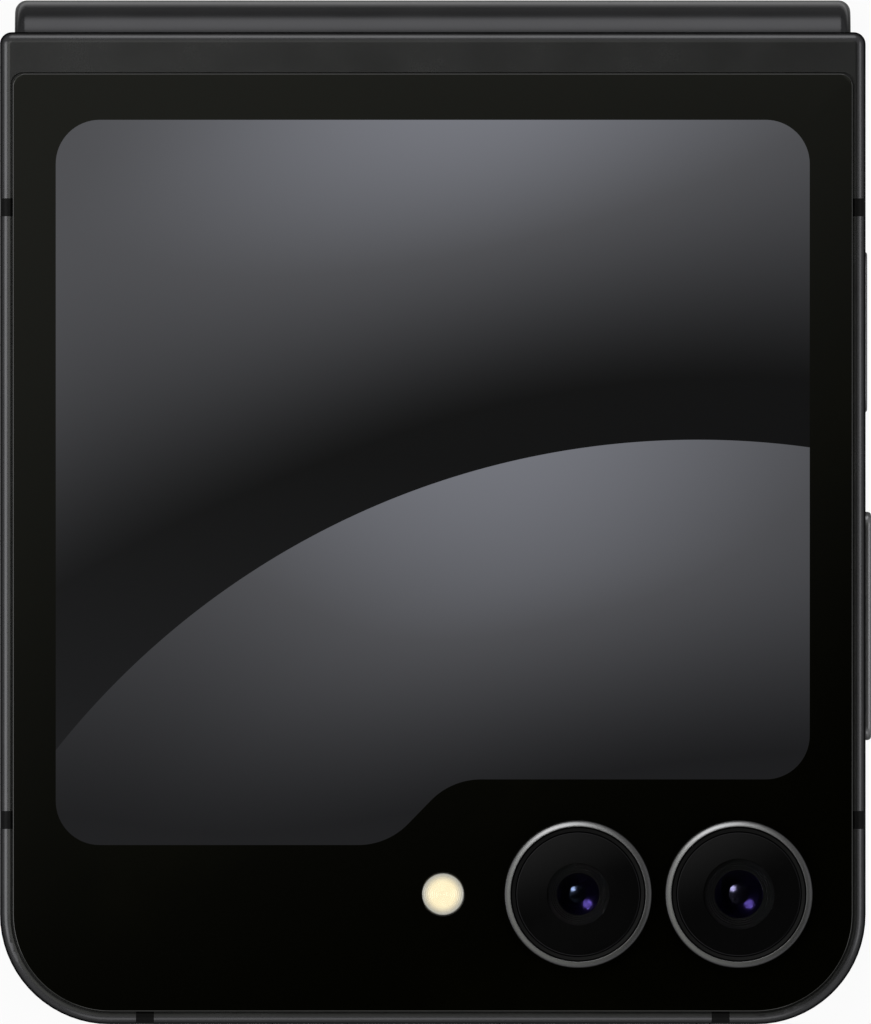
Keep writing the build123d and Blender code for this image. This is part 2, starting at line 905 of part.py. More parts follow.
def panel_outline(grow=0):
    """Cover display: a rounded square whose right part is shorter, with a curved step between."""
    reach = panel_side + grow
    top = axis_y - panel_from_axis + grow
    left_low = free_y + panel_left_from_end - grow
    right_low = free_y + panel_right_from_end - grow
    radius = panel_step_radius
    left, right = (panel_step_left, left_low), (panel_step_right, right_low)
    slope = step_slope(right[0] - left[0], right[1] - left[1], radius)
    first = CenterArc((left[0], left[1] + radius), radius, -90, slope)
    second = CenterArc((right[0], right[1] - radius), radius, 90 + slope, -slope)
    edges = Polyline((-reach, left_low), left) + first + Line(first @ 1, second @ 0) + second
    edges += Polyline(right, (reach, right_low), (reach, top), (-reach, top), (-reach, left_low))
    face = make_face(edges)
    corners = [point for point in face.vertices() if abs(abs(point.X) - reach) < 0.01]
    return fillet(corners, panel_corner + grow)


def step_slope(run, rise, radius):
    """Angle of the line that joins the two arcs of the step."""
    low, high = 1.0, 89.0
    for _ in range(60):
        slope = (low + high) / 2
        angle = math.radians(slope)
        left_over = run - 2 * radius * math.sin(angle)
        climb = 2 * radius * (1 - math.cos(angle)) + left_over * math.tan(angle)
        if climb < rise:
            low = slope
        else:
            high = slope
    return slope


def cover_glass():
    glass = pane(glass_end_y)
    for x in camera_x:
        glass -= disc(x, camera_y, ring_neck + fit_clear, -1, glass_thickness + 1)
    return glass - disc(flash_x, camera_y, flash_radius + fit_clear, -1, glass_thickness + 1)


def cover_display():
    return slab(panel_outline(panel_border), glass_thickness, glass_thickness + panel_thickness)


def camera_ring(x):
    ring = disc(x, camera_y, ring_outer, -ring_rise, 0)
    ring = fillet(ring.faces().sort_by(Axis.Z)[0].edges(), ring_round)
    ring += disc(x, camera_y, ring_neck, -ring_rise / 2, ring_depth)
    seat = camera_glass_thickness + camera_glass_sink - ring_rise
    ring -= disc(x, camera_y, ring_bore, -ring_rise - 1, seat)
    return ring - disc(x, camera_y, ring_seat, -ring_rise - 1, ring_depth + 1)


def camera_glass(x):
    top = camera_glass_sink - ring_rise
    return disc(x, camera_y, ring_bore - fit_clear, top, top + camera_glass_thickness)


def camera_module(x):
    half = camera_base / 2
    barrel = disc(x, camera_y, barrel_radius, 0, barrel_back)
    base = block(x - half, x + half, camera_y - half, camera_y + half, camera_base_depth, web_z)
    return fillet(base.edges().filter_by(Axis.Z), base_round) + barrel


def flash_lens():
    return disc(flash_x, camera_y, flash_radius, 0.02, ring_depth)


def flash_led():
    post = square_post(flash_x, camera_y, flash_post, flash_chip_back, board_z)
    return post + square_post(flash_x, camera_y, flash_chip, ring_depth, flash_chip_back)


def upper_battery():
    return cell(upper_cell_start, glass_thickness + panel_thickness + cell_clear)


def selfie_y():
    return free_y + selfie_from_end


def main_board():
    """Board round the cameras, with its hinge end beside the SIM tray."""
    end_y = free_y + upper_cell_start - 1
    board = slab(outline(wall + board_clear, end_y), board_z, web_z)
    board -= block(switch_side - 0.3, side, volume_y - volume_length / 2, end_y + 1, 0, half_thickness)
    for x in camera_x:
        board -= square_post(x, camera_y, camera_base / 2 + module_gap, 0, half_thickness)
    board -= square_post(0, selfie_y(), selfie_base / 2 + module_gap, 0, half_thickness)
    x_low, x_high, y_low, y_high = earpiece_box()
    high_y = y_high + module_gap
    return board - block(x_low - module_gap, x_high + module_gap, y_low - wall, high_y, 0, half_thickness)


def square_post(x, y, half, low, high):
    return block(x - half, x + half, y - half, y + half, low, high)


def board_shields():
    """Pressed cans over the chips, hollow on the board side."""
    high_y = tray_y - tray_length / 2
    left = (-side + free_corner - wall, -selfie_base - wall, free_y + free_corner + wall)
    right = (camera_x[1] - camera_base / 2, cell_side - shield_from_cameras, camera_y + camera_base / 2)
    cans = []
    for x_low, x_high, y_low in (left, right):
        y_low += shield_from_cameras
        can = block(x_low, x_high, y_low, high_y, shield_depth, board_z)
        skin = shield_skin
        can -= block(x_low + skin, x_high - skin, y_low + skin, high_y - skin, shield_depth + skin, board_z + 1)
        cans.append(can)
    return group(cans)


def earpiece_box():
    x_high = -selfie_base / 2 - 2 * module_gap
    y_low = free_y + wall + module_gap
    return x_high - earpiece_width, x_high, y_low, y_low + earpiece_length


def earpiece():
    x_low, x_high, y_low, y_high = earpiece_box()
    return block(x_low, x_high, y_low, y_high, earpiece_depth, web_z)


def selfie_camera():
    half = selfie_base / 2
    y = selfie_y()
    base = block(-half, half, y - half + module_gap, y + half, selfie_depth, web_z)
    return base + disc(0, y, selfie_barrel, web_z - 1, display_z - 0.05)


def selfie_room(radius):
    return disc(0, selfie_y(), radius, web_z - 1, half_thickness + 1)


# Keys


def key_slots(grow):
    """Openings of both keys through the right side."""
    low, high = side - wall - 1, side + 1
    volume = key_plate(volume_length + 2 * grow, volume_height + 2 * grow, low, high, volume_y, key_z)
    power = key_plate(side_length + 2 * grow, side_height + 2 * grow, low, high, side_key_y, key_z)
    return volume + power


def key(length, height, y, proud):
    """Cap through the side, with a plate behind that keeps it in."""
    back = side - wall - key_play
    cap = key_plate(length, height, back - key_flange, side + proud, y, key_z)
    cap = fillet(cap.faces().sort_by(Axis.X)[-1].edges(), min(key_edge_round, proud + 0.1))
    margin = 2 * key_flange_margin
    return cap + key_plate(length + margin, height + margin, back - key_flange, back, y, key_z)


def volume_key():
    """Rocker, with a round nub along its middle that it tilts on."""
    cap = key(volume_length, volume_height, volume_y, volume_proud)
    half = volume_height / 2
    return cap + disc(rocker_x, volume_y, rocker_nub, key_z - half, key_z + half)


def side_key():
    return key(side_length, side_height, side_key_y, side_proud)


def key_switch(y, length, domes):
    """Strip against the cell's side, with a dome behind each end that is pressed."""
    back = side - wall - key_play - key_flange
    low = glass_thickness + panel_thickness + cell_clear
    strip = block(switch_side - switch_strip, switch_side, y - length / 2, y + length / 2, low, web_z)
    for place in domes:
        strip += bar(y + place, key_z, switch_dome, switch_side - 0.1, back - switch_gap)
    return strip


def volume_switches():
    """Both switches of the rocker, and the post between them that its nub rests on."""
    end = rocker_x - rocker_nub - fit_clear
    half = volume_height / 2
    post = block(switch_side - 0.1, end, volume_y - half, volume_y + half, key_z - half, key_z + half)
    reach = volume_length * 0.36
    return key_switch(volume_y, volume_length - 3, (-reach, reach)) + post


def side_key_switch():
    return key_switch(side_key_y, side_length - 3, (0,))


# SIM tray, on the left side


def tray_door(grow, outer):
    length, height = tray_door_length + 2 * grow, tray_door_height + 2 * grow
    return other_side(key_plate(length, height, side - wall - 0.1, outer, tray_y, key_z))


def card_pocket(grow, low, high):
    middle = -side + wall + 1.0 + tray_length / 2
    half_length, half_width = card_length / 2 + grow, card_width / 2 + grow
    low_x, high_x = middle - half_length, middle + half_length
    return block(low_x, high_x, tray_y - half_width, tray_y + half_width, low, high)


def sim_tray():
    x_low = -side + wall
    half_width = tray_width / 2
    low, high = key_z - tray_thickness / 2, key_z + tray_thickness / 2
    frame = block(x_low, x_low + 1.2 + tray_length, tray_y - half_width, tray_y + half_width, low, high)
    frame -= card_pocket(0.1, low + 0.2, high + 1)
    frame -= card_pocket(-1.2, low - 1, high)
    door = tray_door(0, side - 0.02)
    hole_y = tray_y + tray_door_length / 2 - eject_from_edge
    return frame + door - other_side(bar(hole_y, key_z, eject_hole, side - eject_from_edge, side + 1))


def sim_card():
    low = key_z - tray_thickness / 2 + 0.2
    return card_pocket(0, low, low + card_thickness)


def sim_reader():
    """Cage on the main board that the tray slides into."""
    low = key_z - tray_thickness / 2 - reader_clear
    high = key_z + tray_thickness / 2 + reader_clear
    half_width = tray_width / 2 + reader_clear
    start = -side + wall + 0.3
    end = -side + wall + 1.2 + tray_length + reader_clear
    outer_width = half_width + reader_wall
    far = end + reader_wall
    cage = block(start + 0.5, far, tray_y - outer_width, tray_y + outer_width, low - reader_wall, board_z)
    return cage - block(start - 1, end, tray_y - half_width, tray_y + half_width, low, high)


def upper_frame():
    """Drawn like the lower frame, with openings for keys, tray and front camera."""
    body = half_frame() - key_slots(key_clear)
    body -= tray_door(key_clear, side + 1)
    panel_back = glass_thickness + panel_thickness
    body -= slab(panel_outline(panel_border + 0.1), glass_thickness - 0.1, panel_back + 0.1)
    body -= selfie_room(selfie_barrel + 0.15)
    hole = Pos(mic_hole_x, free_y, key_z) * Rot(90, 0, 0) * Cylinder(mic_hole, 3 * wall)
    return body - hole


def upper_display_plate():
    return display_plate(selfie_room(selfie_barrel + 0.15))


def upper_display():
    return flat_display(selfie_room(selfie_hole))


def write(name, shape):
    solids = shape.solids()
    whole = solids[0] if len(solids) == 1 else Compound(children=list(solids))
    export_step(whole, f"parts/{name}.step")


def lower_pieces():
    frame, breaks = part_frame(lower_frame())
    wing_right = lower_wing()
    return {
        "lower_frame": frame,
        "lower_antenna_breaks": breaks,
        "back_glass": back_glass(),
        "wireless_coil": wireless_coil(),
        "lower_battery": lower_battery(),
        "charge_board": charge_board(),
        "usb_receptacle": usb_receptacle(),
        "loudspeaker": loudspeaker(),
        "vibration_motor": vibration_motor(),
        "lower_display_plate": display_plate(),
        "lower_display": flat_display(),
        "lower_bezel": bezel(),
        "lower_bumpers": bumpers(),
        "lower_magnets": magnets(),
        "lower_wing_right": wing_right,
        "lower_wing_left": other_side(wing_right),
        "lower_wing_screws": wing_screws(),
    }


def hinge_pieces():
    housing = at_hinge(hinge_housing())
    gear_low = at_hinge(sync_gear(-1))
    gear_high = at_hinge(sync_gear(1))
    plate = support_plate()
    return {
        "spine_cover": at_hinge(spine_cover()),
        "hinge_housing_right": housing,
        "hinge_housing_left": other_side(housing),
        "housing_screws": at_hinge(housing_screws()),
        "sync_gear_right_lower": gear_low,
        "sync_gear_right_upper": gear_high,
        "sync_gear_left_lower": other_side(gear_low),
        "sync_gear_left_upper": other_side(gear_high),
        "friction_discs": at_hinge(friction_discs()),
        "display_fold": display_fold(),
        "hinge_flex_cable": hinge_flex_cable(),
        "support_plate_lower": plate,
        "support_plate_upper": other_half(plate),
    }


def upper_pieces():
    frame, breaks = part_frame(upper_frame())
    wing_right = upper_wing()
    turned = {
        "upper_frame": frame,
        "upper_antenna_breaks": breaks,
        "cover_glass": cover_glass(),
        "cover_display": cover_display(),
        "camera_rings": group([camera_ring(x) for x in camera_x]),
        "camera_glasses": group([camera_glass(x) for x in camera_x]),
        "camera_modules": group([camera_module(x) for x in camera_x]),
        "flash_lens": flash_lens(),
        "flash_led": flash_led(),
        "upper_battery": upper_battery(),
        "main_board": main_board(),
        "board_shields": board_shields(),
        "earpiece": earpiece(),
        "selfie_camera": selfie_camera(),
        "upper_display_plate": upper_display_plate(),
        "upper_display": upper_display(),
        "upper_bezel": bezel(),
        "upper_bumpers": bumpers(),
        "upper_wing_screws": wing_screws(),
        "volume_key": volume_key(),
        "volume_switches": volume_switches(),
        "side_key": side_key(),
        "side_key_switch": side_key_switch(),
        "sim_tray": sim_tray(),
        "sim_card": sim_card(),
        "sim_reader": sim_reader(),
    }
    pieces = {name: other_half(shape) for name, shape in turned.items()}
    pieces["upper_wing_right"] = wing_right
    pieces["upper_wing_left"] = other_side(wing_right)
    return pieces


os.makedirs("parts", exist_ok=True)
for pieces in (lower_pieces(), hinge_pieces(), upper_pieces()):
    for name, shape in pieces.items():
        write(name, shape)
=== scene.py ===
import math

import bmesh
import bpy
from mathutils import Matrix, Vector
from mathutils.geometry import delaunay_2d_cdt


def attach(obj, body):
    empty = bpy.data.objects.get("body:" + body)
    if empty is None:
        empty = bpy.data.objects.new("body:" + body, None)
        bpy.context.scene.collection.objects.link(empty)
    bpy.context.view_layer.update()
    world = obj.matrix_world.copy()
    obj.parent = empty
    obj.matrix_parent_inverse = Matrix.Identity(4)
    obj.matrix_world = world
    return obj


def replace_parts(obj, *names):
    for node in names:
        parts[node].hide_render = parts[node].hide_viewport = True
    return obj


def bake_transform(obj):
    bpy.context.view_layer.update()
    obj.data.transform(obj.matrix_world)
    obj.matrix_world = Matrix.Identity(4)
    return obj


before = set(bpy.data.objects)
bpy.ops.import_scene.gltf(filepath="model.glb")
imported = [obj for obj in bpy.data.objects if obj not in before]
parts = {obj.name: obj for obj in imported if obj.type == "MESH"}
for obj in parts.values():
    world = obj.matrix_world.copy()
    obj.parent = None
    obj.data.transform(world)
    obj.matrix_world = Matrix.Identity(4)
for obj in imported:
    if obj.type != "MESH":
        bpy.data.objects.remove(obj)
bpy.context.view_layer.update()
mm = 0.001

# A phone that folds in two, shut, lying on its back glass. Settings are in mm, in the row frame
body = {
    "side": 35.95, "freeY": -42.55, "axisY": 38.05, "midZ": 7.45, "faceZ": 14.9,
    "glassEndY": 36.4, "freeCorner": 9.15, "hingeCorner": 1.0, "cameraY": -31.73,
    "cameraX": (12.07, 25.42), "flashX": 0.85,
}
print("frame loaded")


# Camera, lamps, cards and floor, in metres and degrees. The view is in mm, all but its clip range

view = {"lens": 1400, "sensor": 36, "height": 85.02, "x": 0.23, "y": 0.0, "clip": (0.05, 50)}
sideLamp = {"tilt": 50, "far": 1.0, "wide": 0.4, "long": 0.6}
lampSet = {
    "leftLamp": {**sideLamp, "turn": 180, "bright": 1.2},
    "rightLamp": {**sideLamp, "turn": 0, "bright": 1.0},
    "hingeLamp": {**sideLamp, "turn": 90, "bright": 1.2},
    "freeLamp": {**sideLamp, "turn": 270, "bright": 0.9},
}
pointLampSet = {"tilt": 16, "turn": 137, "far": 1.2, "wide": 0.25, "long": 0.25, "bright": 6.0}
glintLampSet = {**pointLampSet, "bright": 120.0}
ringLampSet = {"tilt": 18, "turn": 108, "far": 1.0, "wide": 0.32, "long": 0.32, "bright": 7.0}
roomSet = {
    "floor": (0.96, 0.96, 0.96),
    "floorShare": 0.94,  # of the floor's look that is the plain backdrop
    "floorHalf": 6.0, "floorZ": -0.0004, "backdrop": 1.0, "fill": 0.4,
}
cardSet = {
    "height": 1.1, "half": 0.5, "tint": (1.0, 1.02, 0.9), "slant": 0.45, "fade": (-0.06, 0.1),
    "near": 0.35, "rim": (0.12, 0.24), "span": 0.25, "leftRound": 1.35, "rightRound": 0.12,
}
matSet = {
    "halfX": 0.06, "halfY": 0.067, "z": -0.0003, "dark": 0.2, "rise": (0.0473, 0.0502),
    "fall": (0.052, 0.064), "fallTo": (1.15, 0.3),
}
sideCards = {  # long soft cards that only gloss picks up, and that draw the lines along the rails
    "leftCard": {"tilt": 50, "turn": 180, "far": 1.0, "wide": 0.85, "long": 0.9, "bright": 5.0},
    "rightCard": {"tilt": 57, "turn": 0, "far": 1.0, "wide": 0.55, "long": 0.9, "bright": 3.8},
    "hingeCard": {"tilt": 68, "turn": 90, "far": 1.0, "wide": 0.9, "long": 0.9, "bright": 4.1},
    "freeCard": {"tilt": 55, "turn": 270, "far": 1.0, "wide": 0.7, "long": 0.9, "bright": 2.6},
}
sideFade = {"X": 0.15, "Y": 0.3}  # share of a side card's width and length where it starts to fade


def addCamera():
    cam = bpy.data.objects.new("camera", bpy.data.cameras.new("camera"))
    bpy.context.scene.collection.objects.link(cam)
    cam.data.lens = view["lens"]
    cam.data.sensor_fit = "VERTICAL"
    cam.data.sensor_height = view["sensor"]
    cam.data.sensor_width = view["sensor"]
    away = view["lens"] * view["height"] / view["sensor"]
    cam.location = Vector((view["x"], view["y"], body["faceZ"] + away)) * mm
    cam.data.clip_start, cam.data.clip_end = view["clip"]
    bpy.context.scene.camera = cam


def aimAtPhone(thing, tilt, turn, far):
    # Puts a lamp or card so far out, tilt from straight above, turned about Z from +X, its back to the room
    t, a = math.radians(tilt), math.radians(turn)
    out = Vector((math.sin(t) * math.cos(a), math.sin(t) * math.sin(a), math.cos(t)))
    side = Vector((-math.sin(a), math.cos(a), 0))
    facing = Matrix((side.cross(out), side, out)).transposed()
    thing.matrix_world = Matrix.Translation(out * far) @ facing.to_4x4()


def addLamp(name, tilt, turn, far, wide, long, bright, shape="RECTANGLE"):
    data = bpy.data.lights.new(name, "AREA")
    data.shape = shape
    data.size, data.size_y = wide, long
    data.energy = math.pi * wide * long * bright
    lamp = bpy.data.objects.new(name, data)
    bpy.context.scene.collection.objects.link(lamp)
    aimAtPhone(lamp, tilt, turn, far)
    lamp.visible_camera = False
    return lamp


def rayIs(tree, *kinds):
    # 1 for rays of any of these kinds
    path = tree.nodes.new("ShaderNodeLightPath")
    share = path.outputs[kinds[0]]
    for kind in kinds[1:]:
        share = addMath(tree, "MAXIMUM", share, path.outputs[kind])
    return share


def mixShaders(tree, share, first, second):
    node = tree.nodes.new("ShaderNodeMixShader")
    for socket, output in zip(node.inputs, (share, first, second)):
        tree.links.new(output, socket)
    return node.outputs[0]


def addWorld():
    world = bpy.data.worlds.new("studio")
    world.use_nodes = True
    bpy.context.scene.world = world
    tree = world.node_tree
    ground = tree.nodes["Background"]
    ground.inputs["Color"].default_value = (1, 1, 1, 1)
    seen = rayIs(tree, "Is Camera Ray", "Is Glossy Ray", "Is Transmission Ray")
    level = mapRange(tree, seen, 0.0, 1.0, roomSet["fill"], roomSet["backdrop"])
    tree.links.new(level, ground.inputs["Strength"])


def addFloor():
    material, tree, shader = startMaterial("floor", Base_Color=(*roomSet["floor"], 1), Roughness=1.0,
                                           Specular_IOR_Level=0.0)
    glow = tree.nodes.new("ShaderNodeEmission")
    glow.inputs["Strength"].default_value = roomSet["backdrop"]
    share = addMath(tree, "MULTIPLY", rayIs(tree, "Is Camera Ray"), roomSet["floorShare"])
    lit = mixShaders(tree, share, shader.outputs[0], glow.outputs[0])
    under = tree.nodes.new("ShaderNodeNewGeometry").outputs["Backfacing"]
    clear = tree.nodes.new("ShaderNodeBsdfTransparent")
    surface = mixShaders(tree, under, lit, clear.outputs[0])  # nothing from below
    tree.links.new(surface, tree.nodes["Material Output"].inputs["Surface"])
    addSheet("floor", roomSet["floorHalf"], roomSet["floorHalf"], roomSet["floorZ"], material)


def addSheet(name, halfX, halfY, z, material):
    mesh = bpy.data.meshes.new(name)
    corners = [(-halfX, -halfY, z), (halfX, -halfY, z), (halfX, halfY, z), (-halfX, halfY, z)]
    mesh.from_pydata(corners, [], [(0, 1, 2, 3)])
    mesh.materials.append(material)
    sheet = bpy.data.objects.new(name, mesh)
    bpy.context.scene.collection.objects.link(sheet)
    return sheet


def glowMaterial(name, tint):
    material = bpy.data.materials.new(name)
    material.use_nodes = True
    tree = material.node_tree
    tree.nodes.remove(tree.nodes["Principled BSDF"])
    glow = tree.nodes.new("ShaderNodeEmission")
    glow.inputs["Color"].default_value = (*tint, 1)
    tree.links.new(glow.outputs[0], tree.nodes["Material Output"].inputs["Surface"])
    split = tree.nodes.new("ShaderNodeSeparateXYZ")
    tree.links.new(objectPlace(tree), split.inputs[0])
    return material, tree, glow.inputs["Strength"], split


def clearToMirrors(tree):
    # Flat glass, an exact mirror, looks through the card to the plain room
    surface = tree.nodes["Material Output"].inputs["Surface"]
    glow = surface.links[0].from_socket
    clear = tree.nodes.new("ShaderNodeBsdfTransparent")
    tree.links.new(mixShaders(tree, rayIs(tree, "Is Singular Ray"), glow, clear.outputs[0]), surface)


def onlyForGloss(card):
    for kind in ("camera", "diffuse", "shadow", "volume_scatter"):
        setattr(card, "visible_" + kind, False)


def addSideCard(name, tilt, turn, far, wide, long, bright):
    material, tree, strength, split = glowMaterial(name, (1, 1, 1))
    level = bright
    for axis, span in (("X", wide), ("Y", long)):
        away = addMath(tree, "ABSOLUTE", split.outputs[axis], 0)
        fade = mapRange(tree, away, span * sideFade[axis], span / 2, 1, 0, True)
        level = addMath(tree, "MULTIPLY", fade, level)
    tree.links.new(level, strength)
    clearToMirrors(tree)
    card = addSheet(name, wide / 2, long / 2, 0, material)
    aimAtPhone(card, tilt, turn, far)
    onlyForGloss(card)


def addCard():
    # A card high above: a soft fade over the phone, paler all round
    c = cardSet
    material, tree, strength, split = glowMaterial("card", c["tint"])
    across, along = split.outputs["X"], split.outputs["Y"]
    slant = addMath(tree, "SUBTRACT", along, addMath(tree, "MULTIPLY", across, c["slant"]))
    fade = mapRange(tree, slant, *c["fade"], 0.0, c["near"], True)
    sideways = addMath(tree, "ABSOLUTE", across, 0)
    outward = addMath(tree, "MAXIMUM", sideways, addMath(tree, "ABSOLUTE", along, 0))
    level = mapRange(tree, across, -c["span"], c["span"], c["leftRound"], c["rightRound"])
    rim = addMath(tree, "MULTIPLY", mapRange(tree, outward, *c["rim"], 0.0, 1.0, True), level)
    tree.links.new(addMath(tree, "MAXIMUM", fade, rim), strength)
    onlyForGloss(addSheet("card", c["half"], c["half"], c["height"], material))


def addMat():
    # A dark mat just wider than the phone, which keeps the lower edges of the rails dark, and a pale strip
    # across it behind the hinge, which draws the line along the edge of the spine
    m = matSet
    material, tree, strength, split = glowMaterial("mat", (1, 1, 1))
    rise = mapRange(tree, split.outputs["Y"], *m["rise"], m["dark"], 1.0, True)
    fall = mapRange(tree, split.outputs["Y"], *m["fall"], *m["fallTo"])
    tree.links.new(addMath(tree, "MULTIPLY", rise, fall), strength)
    onlyForGloss(addSheet("mat", m["halfX"], m["halfY"], m["z"], material))


# Effects that several materials share

grainSet = {"fineDetail": 3.0, "fineRough": 0.6, "fineShare": 0.5, "slowScale": 0.02, "slowDetail": 4.0}
wearSet = {"samples": 4, "turn": (0.995, 0.85), "detail": 4.0, "patch": (0.42, 0.62)}
smudgeSet = {"detail": 5.0, "rough": 0.6, "patch": (0.5, 0.75)}


def startGroup(name, inputs, outputs):
    # A node group with named sockets: inputs as name to (kind, value), outputs as name to kind
    tree = bpy.data.node_groups.new(name, "ShaderNodeTree")
    for label, (kind, value) in inputs.items():
        socket = tree.interface.new_socket(label, in_out="INPUT", socket_type="NodeSocket" + kind)
        socket.default_value = value
    for label, kind in outputs.items():
        tree.interface.new_socket(label, in_out="OUTPUT", socket_type="NodeSocket" + kind)
    return tree, tree.nodes.new("NodeGroupInput"), tree.nodes.new("NodeGroupOutput")


def addMath(tree, operation, first, second, clamp=False):
    node = tree.nodes.new("ShaderNodeMath")
    node.operation = operation
    node.use_clamp = clamp
    for socket, value in zip(node.inputs, (first, second)):
        setInput(tree, socket, value)
    return node.outputs[0]


def setInput(tree, socket, value):
    if isinstance(value, bpy.types.NodeSocket):
        tree.links.new(value, socket)
    else:
        socket.default_value = value


def addNoise(tree, vector, scale, detail=2.0, roughness=0.5):
    node = tree.nodes.new("ShaderNodeTexNoise")
    tree.links.new(vector, node.inputs["Vector"])
    setInput(tree, node.inputs["Scale"], scale)
    node.inputs["Detail"].default_value = detail
    node.inputs["Roughness"].default_value = roughness
    return node.outputs["Fac"]


def objectPlace(tree):
    return tree.nodes.new("ShaderNodeTexCoord").outputs["Object"]


def distanceTo(tree, place, point):
    node = tree.nodes.new("ShaderNodeVectorMath")
    node.operation = "DISTANCE"
    tree.links.new(place, node.inputs[0])
    node.inputs[1].default_value = point
    return node.outputs["Value"]


def mixColour(tree, share, first, second, way="MIX"):
    node = tree.nodes.new("ShaderNodeMix")
    node.data_type = "RGBA"
    node.blend_type = way
    setInput(tree, node.inputs["Factor"], share)
    setInput(tree, node.inputs["A"], first)
    setInput(tree, node.inputs["B"], second)
    return node.outputs["Result"]


def mapRange(tree, value, fromLow, fromHigh, toLow, toHigh, smooth=False):
    node = tree.nodes.new("ShaderNodeMapRange")
    if smooth:
        node.interpolation_type = "SMOOTHSTEP"
    tree.links.new(value, node.inputs["Value"])
    limits = {"From Min": fromLow, "From Max": fromHigh, "To Min": toLow, "To Max": toHigh}
    for label, limit in limits.items():
        setInput(tree, node.inputs[label], limit)
    return node.outputs["Result"]


def startMaterial(name, **values):
    material = bpy.data.materials.new(name)
    material.use_nodes = True
    shader = material.node_tree.nodes["Principled BSDF"]
    for label, value in values.items():
        shader.inputs[label.replace("_", " ")].default_value = value
    return material, material.node_tree, shader


def makeGrainGroup():
    # Fine grain with a slow drift of colour and gloss, for blasted metal and moulded plastic
    inputs = {
        "Colour": ("Color", (0.5, 0.5, 0.5, 1)),
        "Scale": ("Float", 9000.0),
        "Drift": ("Float", 0.1),
        "Roughness": ("Float", 0.4),
        "Spread": ("Float", 0.08),
        "Stretch": ("Vector", (1.0, 1.0, 1.0)),
    }
    g = grainSet
    outputs = {"Colour": "Color", "Roughness": "Float", "Height": "Float"}
    tree, first, last = startGroup("grain", inputs, outputs)
    place = tree.nodes.new("ShaderNodeVectorMath")
    place.operation = "MULTIPLY"
    tree.links.new(objectPlace(tree), place.inputs[0])
    tree.links.new(first.outputs["Stretch"], place.inputs[1])
    fine = addNoise(tree, place.outputs[0], first.outputs["Scale"], g["fineDetail"], g["fineRough"])
    slowScale = addMath(tree, "MULTIPLY", first.outputs["Scale"], g["slowScale"])
    slow = addNoise(tree, place.outputs[0], slowScale, g["slowDetail"])
    shade = addMath(tree, "MULTIPLY", addMath(tree, "SUBTRACT", slow, 0.5), first.outputs["Drift"])
    shade = addMath(tree, "MULTIPLY_ADD", shade, 2.0)
    shade.node.inputs[2].default_value = 1.0
    tint = mixColour(tree, 1.0, first.outputs["Colour"], shade, "MULTIPLY")
    tree.links.new(tint, last.inputs["Colour"])
    uneven = addMath(tree, "ADD", addMath(tree, "MULTIPLY", fine, g["fineShare"]), slow)
    uneven = addMath(tree, "SUBTRACT", uneven, (1 + g["fineShare"]) / 2)
    uneven = addMath(tree, "MULTIPLY", uneven, first.outputs["Spread"])
    tree.links.new(addMath(tree, "ADD", first.outputs["Roughness"], uneven, True), last.inputs["Roughness"])
    tree.links.new(fine, last.inputs["Height"])
    return tree


def makeWearGroup():
    # Bright rub along convex edges, broken up by noise
    w = wearSet
    inputs = {"Reach": ("Float", 0.00012), "Amount": ("Float", 0.3), "Scale": ("Float", 900.0)}
    tree, first, last = startGroup("edgeWear", inputs, {"Mask": "Float"})
    soft = tree.nodes.new("ShaderNodeBevel")
    soft.samples = w["samples"]
    tree.links.new(first.outputs["Reach"], soft.inputs["Radius"])
    true = tree.nodes.new("ShaderNodeNewGeometry")
    turn = tree.nodes.new("ShaderNodeVectorMath")
    turn.operation = "DOT_PRODUCT"
    tree.links.new(soft.outputs["Normal"], turn.inputs[0])
    tree.links.new(true.outputs["Normal"], turn.inputs[1])
    edge = mapRange(tree, turn.outputs["Value"], *w["turn"], 0.0, 1.0)
    patches = addNoise(tree, objectPlace(tree), first.outputs["Scale"], w["detail"])
    rub = mapRange(tree, patches, *w["patch"], 0.0, 1.0)
    mask = addMath(tree, "MULTIPLY", addMath(tree, "MULTIPLY", edge, rub), first.outputs["Amount"], True)
    tree.links.new(mask, last.inputs["Mask"])
    return tree


def makeSmudgeGroup():
    # Faint wipe marks that only dull the gloss a little
    inputs = {"Roughness": ("Float", 0.03), "Amount": ("Float", 0.05), "Scale": ("Float", 60.0)}
    tree, first, last = startGroup("smudge", inputs, {"Roughness": "Float", "Mark": "Float"})
    s = smudgeSet
    broad = addNoise(tree, objectPlace(tree), first.outputs["Scale"], s["detail"], s["rough"])
    mark = mapRange(tree, broad, *s["patch"], 0.0, 1.0, True)
    dull = addMath(tree, "MULTIPLY", mark, first.outputs["Amount"])
    tree.links.new(addMath(tree, "ADD", dull, first.outputs["Roughness"], True), last.inputs["Roughness"])
    tree.links.new(mark, last.inputs["Mark"])
    return tree


addCamera()
for name, setting in lampSet.items():
    addLamp(name, **setting).visible_glossy = False
addLamp("pointLamp", shape="ELLIPSE", **pointLampSet)
glintLamp = addLamp("glintLamp", shape="ELLIPSE", **glintLampSet)
glintLamp.data.cycles.use_multiple_importance_sampling = False
ringLamp = addLamp("ringLamp", shape="ELLIPSE", **ringLampSet)
for name, setting in sideCards.items():
    addSideCard(name, **setting)
addWorld()
addFloor()
addCard()
addMat()
bpy.context.scene.view_settings.view_transform = "Standard"
print("camera and lamps ready")

grainGroup = makeGrainGroup()
wearGroup = makeWearGroup()
smudgeGroup = makeSmudgeGroup()


def placeGroup(tree, group, **values):
    node = tree.nodes.new("ShaderNodeGroup")
    node.node_tree = group
    for label, value in values.items():
        setInput(tree, node.inputs[label], value)
    return node


